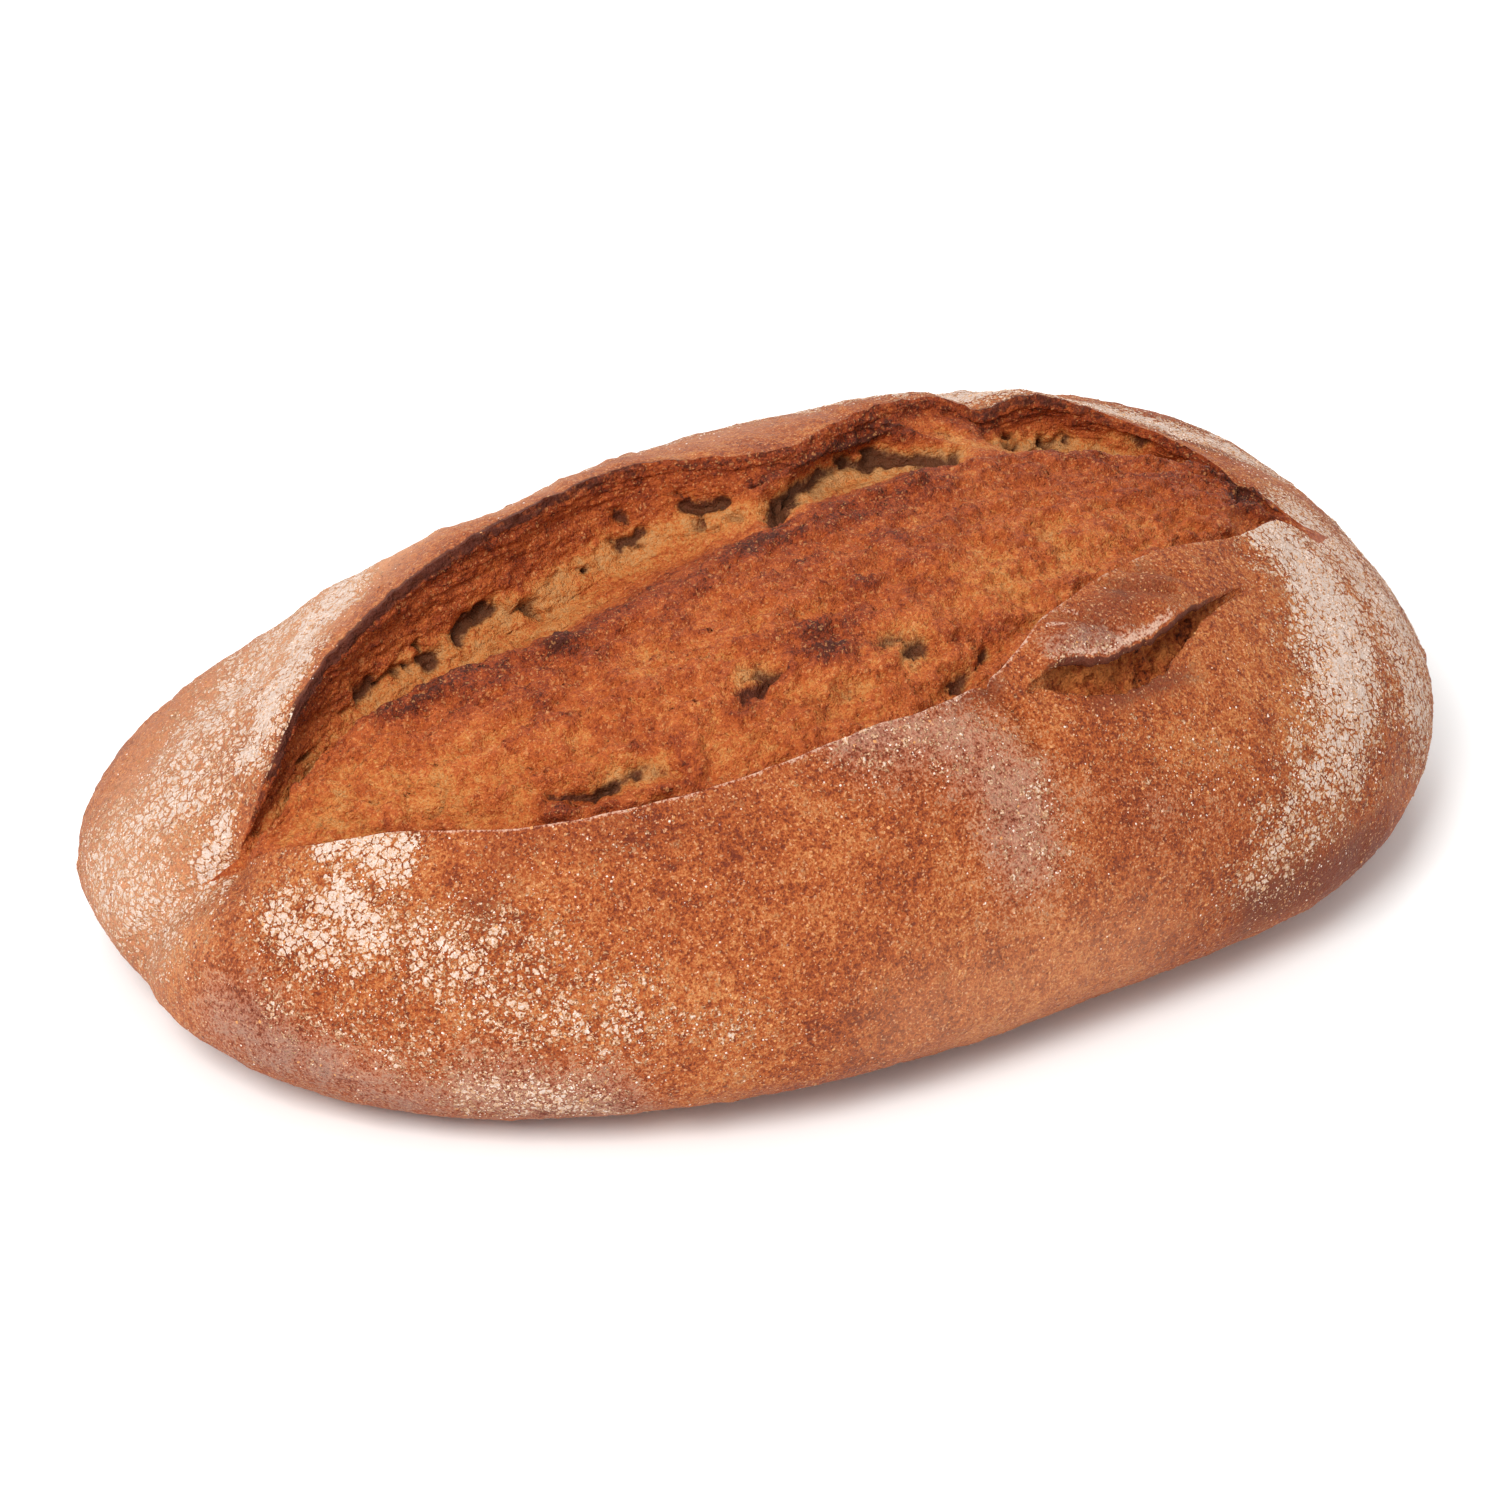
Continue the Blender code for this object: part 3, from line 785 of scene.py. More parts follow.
@dataclass
class Patch:
    """A grid of points on the loaf, by rows along it and columns round it, with named point attributes."""

    points: Array
    marks: dict[str, Array] = field(default_factory=dict)

    def piece(self, name: str, finish: bpy.types.Material) -> bpy.types.Object:
        """Model the patch on a grid primitive with a point for each of its own, and close its seams.

        Args:
            name: the piece's name.
            finish: its material.

        Returns:
            The new piece.
        """
        rows, columns = self.points.shape[:2]
        bpy.ops.object.select_all(action="DESELECT")
        bpy.ops.mesh.primitive_grid_add(x_subdivisions=columns - 1, y_subdivisions=rows - 1, size=1.0)
        piece = bpy.context.object
        piece.name = piece.data.name = name
        mesh = piece.data
        corner = np.empty(len(mesh.vertices) * 3, np.float32)
        mesh.vertices.foreach_get("co", corner)
        corner = corner.reshape(-1, 3) + 0.5
        column = np.rint(corner[:, 0] * (columns - 1)).astype(int)
        row = np.rint(corner[:, 1] * (rows - 1)).astype(int)
        mesh.vertices.foreach_set("co", (self.points[row, column] * MM).astype(np.float32).ravel())
        for mark, values in self.marks.items():
            mesh.attributes.new(mark, "FLOAT", "POINT").data.foreach_set("value", values[row, column].ravel())
        mesh.materials.append(finish)
        bpy.ops.object.mode_set(mode="EDIT")
        bpy.ops.mesh.select_all(action="SELECT")
        bpy.ops.mesh.remove_doubles(threshold=1e-6)
        bpy.ops.object.mode_set(mode="OBJECT")
        self.turn_outward(piece)
        bpy.ops.object.shade_smooth()
        return piece

    @staticmethod
    def turn_outward(piece: bpy.types.Object) -> None:
        """Flip the piece's faces if they look into the loaf."""
        mesh = piece.data
        centre = np.empty(len(mesh.polygons) * 3, np.float32)
        normal = np.empty(len(mesh.polygons) * 3, np.float32)
        area = np.empty(len(mesh.polygons), np.float32)
        mesh.polygons.foreach_get("center", centre)
        mesh.polygons.foreach_get("normal", normal)
        mesh.polygons.foreach_get("area", area)
        out = centre.reshape(-1, 3) - np.array([0.0, 0.0, 0.03])
        if np.sum(np.sum(normal.reshape(-1, 3) * out, axis=1) * area) < 0:
            bpy.ops.object.mode_set(mode="EDIT")
            bpy.ops.mesh.select_all(action="SELECT")
            bpy.ops.mesh.flip_normals()
            bpy.ops.object.mode_set(mode="OBJECT")


@dataclass
class Crust:
    """The baked crust: from the long slash's front lip down the front, under the loaf and up to the ear."""

    form: LoafForm
    edges: SlashEdges
    strip_columns: int = 16
    short_columns: int = 30
    front_columns: int = 104
    back_columns: int = 66
    base_weight: float = 0.10
    far_weight: float = 0.42
    lumps: Grain = Grain(0.42, 11.0, 3, 201)
    grain: Grain = Grain(0.20, 2.1, 2, 202)
    blisters: Domes = Domes(0.5, 7.0, 203, 0.42, power=2.0, bare=0.72)
    pimples: Domes = Domes(0.22, 2.6, 207, 0.40, bare=0.3, varied=True)
    crack_bend: Grain = Grain(1.2, 4.0, 1, 204)
    crack_size: float = 5.0
    crack_width: float = 0.14
    crack_depth: float = 0.28
    flour_thickness: float = 0.15
    ridges: Grain = Grain(1.0, (3.6, 7.0, 8.0), 3, 208, 0.6)
    ridge_height: float = 0.45
    ridged_end: tuple[float, float] = (-100.0, -122.0)
    torn_crumb: Grain = Grain(2.0, (3.6, 2.4, 2.4), 4, 206, 0.8)
    torn_depth: float = 0.8
    blown_reach: float = 4.5
    most_flour: float = 1.1
    rim_reach: float = 1.0
    rim_columns: int = 30
    lip_reach: float = 0.7
    tongue_columns: float = 2.2
    # Painted highlights with some flour dust along the front lip and the tongue's edge: their strength along
    # the loaf
    lip_highlight_and_dust: Course = ((-124, 0), (-108, 0.8), (-60, 0.9), (-20, 1.0), (30, 0.9), (50, 0.6), (117, 0.6))
    tongue_highlight_and_dust: Course = ((20, 1), (48, 1), (66, 0.3), (80, 0))
    under_share: float = 0.36

    def strip(self) -> tuple[Array, Array]:
        """The strip of crust between the long slash's front lip and the short slash's tongue."""
        form, edges = self.form, self.edges
        t = np.linspace(0, 1, self.strip_columns)[None, :]
        lip, tongue = edges.lip[:, None], edges.tongue[:, None]
        share = lip + (tongue - lip) * t
        y = edges.middle[:, None] + edges.width[:, None] * share
        from_tongue = (y - y[:, -1:]) / form.tongue_reach
        rise = form.tongue_rise * edges.short_open[:, None] * np.exp(-(from_tongue**2))
        return y, form.crown(edges.x[:, None], share) + rise

    def short_slash(self) -> tuple[Array, Array]:
        """The short slash: round the tongue's edge, down the inner face and up to the lower lip."""
        form, edges = self.form, self.edges
        wide = edges.short_open
        low = form.crown(edges.x, edges.lower)
        high = form.crown(edges.x, edges.tongue) + form.tongue_rise * wide
        y_low, y_high = edges.y_at(edges.lower), edges.y_at(edges.tongue)
        thick, deep = form.tongue_thickness, form.short_depth
        profile = [
            (y_high, high),
            (y_high - 0.8, high - 0.30 * thick),
            (y_high - 0.5, high - 0.80 * thick),
            (y_high + 1.5, high - 1.5 * thick),
            (y_high + 1.2, low - 0.45 * deep),
            (y_low + 0.60 * (y_high - y_low), low - deep),
            (y_low + 0.28 * (y_high - y_low), low - 0.65 * deep),
            (y_low, low),
        ]
        place = np.linspace(0, len(profile) - 1, self.short_columns + 2)[1:-1]
        knots = np.arange(len(profile))
        y = np.empty((len(edges.x), self.short_columns))
        z = np.empty_like(y)
        closed = np.linspace(0, 1, self.short_columns + 2)[1:-1]
        for row in range(len(edges.x)):
            w = wide[row]
            y[row] = (1 - w) * (y_high[row] + (y_low[row] - y_high[row]) * closed)
            z[row] = (1 - w) * (high[row] + (low[row] - high[row]) * closed)
            if w > 0:
                y[row] += w * through(list(zip(knots, (point[0][row] for point in profile))), place)
                z[row] += w * through(list(zip(knots, (point[1][row] for point in profile))), place)
        return y, z

    def outer_contour(self, row: int, share: float, side: int) -> tuple[Array, Array]:
        """Follow one row's crust from an edge of a slash out, down and under to the middle of the base.

        Args:
            row: the row.
            share: where the edge is.
            side: -1 for the front and 1 for the back.

        Returns:
            The contour's y values and heights.
        """
        form, x = self.form, self.edges.x[row]
        width, low = form.half_width(x), form.base_height(x)
        over = side * (1 - (1 - side * share) * np.linspace(1, 0, 90) ** 1.8)
        turn = np.linspace(0, np.pi / 2, 40)[1:]
        under = side * (1 - form.tuck * (1 - np.cos(turn)))
        under_height = form.nose_height - (form.nose_height - low) * np.sin(turn)
        share_line = np.concatenate([over, under, [0.0]])
        height = np.concatenate([form.crown(x, over), under_height, [low]])
        return form.middle_line(x) + width * share_line, height

    def side(self, shares: Array, side: int, columns: int, dense: float) -> tuple[Array, Array]:
        """Lay out one side of the crust, its columns close where it shows.

        Args:
            shares: the share of the slash edge that the side starts from, on every row.
            side: -1 for the front and 1 for the back.
            columns: how many columns, the edge and the middle of the base included.
            dense: how close the columns lie low on the side, beside those near the edge.

        Returns:
            Rows of y values and heights.
        """
        y = np.empty((len(self.edges.x), columns))
        z = np.empty_like(y)
        for row in range(len(self.edges.x)):
            line_y, line_z = self.outer_contour(row, shares[row], side)
            high = ease(self.form.nose_height, self.form.nose_height + 30, line_z)
            above = dense + (1 - dense) * high
            weight = self.base_weight + (above - self.base_weight) * ease(3.0, 12.0, line_z)
            y[row], z[row] = spread(line_y, line_z, weight, columns)
        return y, z

    def plain_form(self) -> Array:
        """Rows of points on the smooth crust, in the frame of the plain form."""
        form, edges = self.form, self.edges
        strip = self.strip()
        short = self.short_slash()
        front = self.side(edges.lower, -1, self.front_columns, 0.9)
        back = self.side(edges.ear, 1, self.back_columns, self.far_weight)
        back_y, back_z = back
        reach = np.minimum(form.ear_reach, 0.8 * edges.width * (1 - edges.ear))[:, None]
        from_ear = (back_y - back_y[:, :1]) / np.maximum(reach, 1e-6)
        above = ease(form.nose_height, form.nose_height + 20, back_z)
        back_z = back_z + edges.lift[:, None] * np.exp(-(from_ear**2)) * above
        y = np.concatenate([strip[0], short[0], front[0], back_y[:, -2::-1]], axis=1)
        z = np.concatenate([strip[1], short[1], front[1], back_z[:, -2::-1]], axis=1)
        before_back = y.shape[1] - back_y.shape[1] + 1
        z[:, :before_back] += edges.lip_swell(y[:, :before_back], z[:, :before_back])
        x = np.repeat(edges.x[:, None], y.shape[1], axis=1)
        return np.stack([x, y, z], axis=-1)

    def torn_share(self) -> Array:
        """1 on the inner faces of the short slash and 0 on the crust, for every column."""
        column = np.arange(self.strip_columns + self.short_columns)
        start = self.strip_columns + round(self.under_share * self.short_columns)
        end = self.strip_columns + self.short_columns - 1
        inside = ease(start - 1.5, start + 1.5, column) * ease(-end - 1.0, -end + 2.0, -column)
        rest = np.zeros(self.front_columns + self.back_columns - 1)
        return np.concatenate([inside, rest])[None, :] * self.edges.short_open[:, None]

    def tongue_underside_shade(self) -> Array:
        """1 on the underside of the tongue's edge, where painted shade lies, and 0 elsewhere, for every
        column.
        """
        before = self.strip_columns + self.short_columns
        column = np.arange(before + self.front_columns + self.back_columns - 1)
        start, end = self.strip_columns + 2, self.strip_columns + round(self.under_share * self.short_columns)
        band = ease(start - 1.0, start + 1.0, column) * ease(-end - 2.0, -end + 1.0, -column)
        return band[None, :] * self.edges.short_open[:, None]

    def relief(self, place: Array, torn: Array, flour: Array) -> Array:
        """Height of the crust's small unevenness.

        Args:
            place: points of the settled form.
            torn: 1 on the short slash's inner faces.
            flour: how thick the flour lies.

        Returns:
            Millimetres outward at each point.
        """
        height = sum(layer.at(place) for layer in (self.lumps, self.grain, self.blisters, self.pimples))
        first, second, _ = cells(place + self.crack_bend.at(place)[..., None], self.crack_size, 205)
        cracks = np.clip(1 - (second - first) / self.crack_width, 0, 1)
        height = height + flour * (self.flour_thickness - self.crack_depth * cracks)
        left_end = ease(*self.ridged_end, place[..., 0]) * ease(12.0, 30.0, place[..., 2])
        height = height + self.ridge_height * left_end * (1 - 2 * np.abs(self.ridges.at(place)))
        crumb = self.torn_crumb.at(place) - self.torn_depth
        return height * (1 - torn) + crumb * torn

    def patch(self) -> Patch:
        """Rows of points on the finished crust, with its marks."""
        form, edges = self.form, self.edges
        points = form.settle(self.plain_form())
        torn = self.torn_share()
        normal = surface_normals(points, points - np.array([0.0, 0.0, 30.0]))
        plain = points + np.array([0.0, form.set_back, 0.0])
        blown = wandered(plain, self.blown_reach, 10.0, (404, 405, 406), 3)
        flour = np.clip(strongest(FLOUR_MARKS, blown), 0, self.most_flour)
        height = self.relief(points, torn, flour) * held(points.shape[1])[None, :]
        height -= all_marks(CRUST_FOLDS, plain)
        height *= ease(0.3, 5.0, points[..., 2]) * ease(0.0, 2.5, form.half_length - np.abs(points[..., 0]))
        points = points + normal * height[..., None]
        rim, lip = self.edge_marks(points)
        lip = np.maximum(lip, strongest(TONGUE_HIGHLIGHTS_AND_DUST, plain) * (1 - torn))
        marks = {
            "torn": torn,
            # under: painted shade on the underside of the tongue's edge
            "under": self.tongue_underside_shade(),
            "flour": flour,
            "haze": np.clip(strongest(HAZE_MARKS, plain), 0, 1),
            # dark: painted shade, from the painted shade marks
            "dark": np.clip(all_marks(PAINTED_SHADE_MARKS, plain), 0, 1),
            # light: painted light, from the painted light marks
            "light": np.clip(all_marks(PAINTED_LIGHT_MARKS, plain), 0, 1),
            "rim": np.clip(rim, 0, 1),
            # lip: painted highlights with some flour dust, along the front lip, the tongue's edge and its
            # folds
            "lip": np.clip(lip, 0, 1),
        }
        return closed_at_tips(Patch(points, marks), form)

    def edge_marks(self, points: Array) -> tuple[Array, Array]:
        """Mark the crust along its edges.

        Args:
            points: rows of points on the finished crust.

        Returns:
            1 on the charred crust at the ear's rim, and 1 along the edges of the front lip and the tongue,
            where painted highlights lie with some flour dust.
        """
        edges, column = self.edges, np.arange(points.shape[1])
        rim = np.exp(-(((points[:, -1:, 1] - points[..., 1]) / self.rim_reach) ** 2)) * edges.char[:, None]
        rim = rim * (column > points.shape[1] - self.rim_columns)[None, :]
        strength = edges.open * through(self.lip_highlight_and_dust, edges.x)
        lip = np.exp(-(((points[:, :1, 1] - points[..., 1]) / self.lip_reach) ** 2)) * strength[:, None]
        lip = lip * (column < self.strip_columns)[None, :]
        strength = edges.short_open * ease(0.2, 0.8, through(self.tongue_highlight_and_dust, edges.x))
        tongue = np.exp(-(((column - self.strip_columns + 1) / self.tongue_columns) ** 2))
        return rim, np.maximum(lip, tongue[None, :] * strength[:, None])


def closed_at_tips(patch: Patch, form: LoafForm) -> Patch:
    """Add a row at each end of a patch whose points all lie at the loaf's tip.

    Args:
        patch: rows of points from tip to tip.
        form: the loaf.

    Returns:
        The patch with its two more rows.
    """
    ends = []
    for row, side in ((0, -1), (-1, 1)):
        tip = patch.points[row].mean(axis=0)
        tip[0] = side * form.half_length
        ends.append(np.repeat(tip[None, None, :], patch.points.shape[1], axis=1))
    points = np.concatenate([ends[0], patch.points, ends[1]])
    marks = {name: np.concatenate([value[:1], value, value[-1:]]) for name, value in patch.marks.items()}
    return Patch(points, marks)


@dataclass
class TornFace:
    """The torn inside of the long slash: its floor, the slope to the fissure, and the ear's wall and rim."""

    form: LoafForm
    edges: SlashEdges
    step_columns: int = 6
    floor_columns: int = 96
    slope_columns: int = 34
    wall_columns: int = 68
    rim_columns: int = 12
    foot_share: float = 0.012
    foot_most: float = 0.2
    foot_reach: float = 0.16
    undercut: float = 0.8
    crest_reach: float = 0.14
    sink_ends: float = 0.55
    slope_power: float = 0.8
    wall_power: float = 1.4
    floor_layers: tuple[Grain | Domes, ...] = (
        Grain(0.9, 15.0, 3, 301),
        Grain(0.9, 4.2, 4, 302, 0.8),
        Domes(0.5, 3.0, 319, 0.45, bare=0.25, varied=True),
    )
    slope_layers: tuple[Grain, ...] = (
        Grain(0.8, (10.0, 6.0, 6.0), 3, 303),
        Grain(0.6, 3.0, 4, 304, 0.75),
    )
    wall_layers: tuple[Grain, ...] = (
        Grain(1.0, (16.0, 9.0, 3.6), 4, 305, 0.65),
        Grain(0.5, 2.4, 3, 306, 0.7),
    )
    rim_layers: tuple[Grain, ...] = (Grain(0.8, (4.0, 2.0, 2.0), 4, 307, 0.75),)
    flakes: Grain = Grain(1.0, (11.0, 6.5, 6.0), 4, 312, 0.6)
    flake_height: float = 0.8
    flake_step: float = 0.7
    creases: Grain = Grain(1.0, (11.0, 5.5, 5.0), 3, 313)
    crease_depth: float = 0.8
    crease_width: float = 0.06
    bend_reach: float = 2.2
    holes: Domes = Domes(3.4, (8.5, 5.0, 4.2), 308, 0.14, 0.30, 0.6, 0.42)
    pores: Domes = Domes(0.9, 2.6, 309, 0.42, bare=0.5)
    pits: Domes = Domes(0.6, 4.2, 310, 0.35, bare=0.7)
    frayed_reach: float = 1.5
    blotches: Grain = Grain(1.0, (11.0, 8.0, 8.0), 4, 317, 0.65)
    crest_browning: Grain = Grain(1.0, 13.0, 3, 318)
    uneven_bake: Grain = Grain(0.10, 12.0, 3, 311)
    bake_by_height: float = 0.07
    closed_bake: float = 0.7

    def columns(self) -> dict[str, slice]:
        """Which columns each part of the torn face has."""
        counts = {
            "step": self.step_columns, "floor": self.floor_columns, "slope": self.slope_columns,
            "wall": self.wall_columns, "rim": self.rim_columns,
        }
        ends = np.cumsum(list(counts.values()))
        return {name: slice(end - count, end) for (name, count), end in zip(counts.items(), ends)}

    def plain_form(self) -> Array:
        """Rows of points on the smooth torn face, in the frame of the plain form."""
        form, edges = self.form, self.edges
        x, wide = edges.x[:, None], edges.open[:, None]
        width, middle = edges.width[:, None], edges.middle[:, None]
        lip, ridge = edges.lip[:, None], edges.ridge[:, None]
        valley, ear = edges.valley[:, None], edges.ear[:, None]
        lip_top = form.crown(x, lip) + form.lip_rise * wide
        step = through(form.lip_step, edges.x)[:, None] * wide
        sink = through(form.floor_sink, edges.x)[:, None]
        foot_share = lip + np.minimum(self.foot_share, self.foot_most * (ridge - lip))

        t = np.linspace(0, 1, self.step_columns)[None, :]
        undercut = -self.undercut * np.sin(np.pi * t) * wide
        step_y = middle + width * (lip + (foot_share - lip) * t**2) + undercut
        foot_top = form.crown(x, foot_share) - sink - step
        step_z = lip_top + (foot_top - lip_top) * t

        t = np.linspace(0, 1, self.floor_columns + 1)[None, 1:]
        share = foot_share + (ridge - foot_share) * t
        foot = step * np.exp(-((t / self.foot_reach) ** 2))
        crest = form.ridge_rise * wide * np.exp(-(((1 - t) / self.crest_reach) ** 2))
        floor_y = middle + width * share
        floor_z = form.crown(x, share) - sink * (1 - self.sink_ends * np.sin(np.pi * t)) - foot + crest

        t = np.linspace(0, 1, self.slope_columns + 1)[None, 1:]
        share = ridge + (valley - ridge) * t
        depth = through(form.valley_depth, edges.x)[:, None]
        top = form.crown(x, ridge) - sink + form.ridge_rise * wide
        bottom = form.crown(x, valley) - depth
        slope_y = middle + width * share
        slope_z = top + (bottom - top) * ease(0.0, 1.0, t**self.slope_power)

        t = np.linspace(0, 1, self.wall_columns + 1)[None, 1:]
        low_y, high_y = middle + width * valley, middle + width * ear
        rim_under = form.crown(x, ear) + edges.lift[:, None] - form.rim_thickness * wide
        hollow = form.wall_hollow * np.sin(np.pi * t) - form.rim_nose * t**4
        wall_y = low_y + (high_y - low_y) * t**self.wall_power + wide * hollow
        wall_z = bottom + (rim_under - bottom) * t

        t = np.linspace(0, 1, self.rim_columns + 1)[None, 1:]
        rim_y = high_y - wide * form.rim_nose * (1 - t**2)
        rim_z = rim_under + form.rim_thickness * wide * t

        y = np.concatenate([step_y, floor_y, slope_y, wall_y, rim_y], axis=1)
        z = np.concatenate([step_z, floor_z, slope_z, wall_z, rim_z], axis=1)
        return np.stack([np.repeat(x, y.shape[1], axis=1), y, z], axis=-1)

    def weights(self) -> dict[str, Array]:
        """How far each column belongs to each part of the torn face, and how far across or along it lies."""
        part = self.columns()
        column = np.arange(part["rim"].stop)[None, :].astype(float)
        borders = (part[name].stop for name in ("step", "floor", "slope", "wall"))
        start, floor_end, slope_end, wall_end = borders
        into_floor = ease(start - 4, start, column)
        into_slope = ease(floor_end - 6, floor_end + 4, column)
        into_wall = ease(slope_end - 8, slope_end + 6, column)
        into_rim = ease(wall_end - 4, wall_end, column)
        return {
            "step": 1 - into_floor,
            "floor": into_floor * (1 - into_slope),
            "slope": into_slope * (1 - into_wall),
            "wall": into_wall * (1 - into_rim),
            "rim": into_rim,
            "char": into_rim * ease(-2.0, 5.0, column - wall_end),
            "height": np.clip((column - slope_end) / (wall_end - slope_end), 0, 1),
            "down": np.clip((column - floor_end) / (slope_end - floor_end), 0, 1),
            "across": np.clip((column - start) / (floor_end - start), 0, 1),
        }

    def relief(self, place: Array, weight: dict[str, Array]) -> Array:
        """Height of the tear's roughness.

        Args:
            place: points of the settled form.
            weight: each column's weights.

        Returns:
            Millimetres outward at each point.
        """
        streaks = self.flakes.at(place)
        flakes = ease(-0.01, 0.02, streaks)
        flakes = flakes + self.flake_step * (ease(0.16, 0.18, streaks) - ease(0.16, 0.18, -streaks))
        creases = np.clip(1 - np.abs(self.creases.at(place)) / self.crease_width, 0, 1)
        height = weight["floor"] * (self.flake_height * flakes - self.crease_depth * creases)
        for zone, layers in (
            ("floor", self.floor_layers),
            ("slope", self.slope_layers),
            ("wall", self.wall_layers),
            ("rim", self.rim_layers),
        ):
            height = height + weight[zone] * sum(layer.at(place) for layer in layers)
        bent = wandered(place, self.bend_reach, 4.0, (314, 315, 316))
        crumb = weight["wall"] * ease(0.62, 0.30, weight["height"])
        crumb = crumb + weight["slope"] * ease(0.4, 0.9, weight["down"])
        height = height - (self.holes.at(bent) + self.pores.at(bent)) * crumb
        return height - self.pits.at(bent) * weight["floor"]

    def patch(self) -> Patch:
        """Rows of points on the finished torn face, with its marks."""
        form, edges = self.form, self.edges
        points = form.settle(self.plain_form())
        weight = self.weights()
        plain = points + np.array([0.0, form.set_back, 0.0])
        normal = surface_normals(points, np.array([0.0, -0.3, 1.0]))
        frayed = wandered(plain, self.frayed_reach, 4.5, (401, 402, 403), 4)
        height = self.relief(points, weight) * held(points.shape[1])[None, :] * edges.open[:, None]
        tears = all_marks(FLOOR_TEARS, frayed) * weight["floor"]
        tears += all_marks(WALL_TEARS, frayed) * (weight["wall"] + weight["slope"])
        height -= tears
        points = points + normal * height[..., None]
        bake = self.bake(weight) + self.bake_spots(points, weight) + self.bake_by_height * height
        bake = bake + all_marks(FLOOR_BROWNING, frayed) * (weight["floor"] + weight["slope"])
        bake = bake + all_marks(WALL_BROWNING, frayed) * (weight["wall"] + weight["slope"])
        bake = self.closed_bake + (bake - self.closed_bake) * edges.open[:, None]
        marks = {
            "bake": np.clip(bake, 0, 1.2),
            "rim": np.broadcast_to(weight["char"], bake.shape) * edges.char[:, None],
            # deep: painted shade, darkest in the deepest tears and hollows
            "deep": np.clip(tears / 3.0 - 0.35, 0, 1) + 0.7 * np.clip(-height / 2.8 - 0.25, 0, 1),
        }
        return Patch(points, marks)

    @staticmethod
    def bake(weight: dict[str, Array]) -> Array:
        """How far the oven browned each column, from 0 for pale crumb to 1 for dark: the fissure least."""
        browned = {
            "step": 0.55,
            "floor": 0.50 + 0.10 * ease(0.35, 0.8, weight["across"]),
            "slope": 0.60 - 0.40 * ease(0.15, 0.75, weight["down"]),
            "wall": 0.20 + 0.48 * ease(0.12, 0.5, weight["height"]) + 0.14 * ease(0.5, 1.0, weight["height"]),
            "rim": 0.85,
        }
        return sum(weight[zone] * share for zone, share in browned.items())

    def bake_spots(self, place: Array, weight: dict[str, Array]) -> Array:
        """Uneven browning.

        Args:
            place: points on the finished torn face.
            weight: each column's weights.

        Returns:
            What is added to the bake: most along the floor's crest, and in blotches.
        """
        crest = np.exp(-(((1 - weight["across"]) / 0.10) ** 2)) * weight["floor"]
        crest = crest + np.exp(-((weight["down"] / 0.20) ** 2)) * weight["slope"]
        spots = 0.24 * crest * ease(-0.2, 0.25, self.crest_browning.at(place))
        spots = spots + 0.14 * ease(0.05, 0.35, self.blotches.at(place))
        return spots + self.uneven_bake.at(place)


def linear(colour: str) -> tuple[float, float, float, float]:
    """Turn an sRGB hex colour into the linear one that the shaders take."""
    parts = [int(colour[i : i + 2], 16) / 255 for i in (0, 2, 4)]
    red, green, blue = (c / 12.92 if c <= 0.04045 else ((c + 0.055) / 1.055) ** 2.4 for c in parts)
    return red, green, blue, 1.0


def grain_scale(size: float) -> float:
    """Scale of a texture whose grain is a size in millimetres, on Object coordinates in metres."""
    return 1 / (size * MM)


def put(
    tree: bpy.types.NodeTree, kind: str, inputs: dict | None = None, **settings: object
) -> bpy.types.Node:
    """Add a node to a material.

    Args:
        tree: the material's nodes.
        kind: the node's type.
        inputs: for each socket, the value it holds or the socket it is linked from.
        settings: the node's own settings. stops is a colour ramp's list of places and hex colours.

    Returns:
        The node.
    """
    node = tree.nodes.new(kind)
    stops = settings.pop("stops", ())
    if stops:
        ramp = node.color_ramp.elements
        ramp.remove(ramp[1])
        ramp[0].position, ramp[0].color = stops[0][0], linear(stops[0][1])
        for place, colour in stops[1:]:
            ramp.new(place).color = linear(colour)
    for name, value in settings.items():
        setattr(node, name, value)
    for socket, value in (inputs or {}).items():
        if isinstance(value, bpy.types.NodeSocket):
            tree.links.new(value, node.inputs[socket])
        else:
            node.inputs[socket].default_value = value
    return node


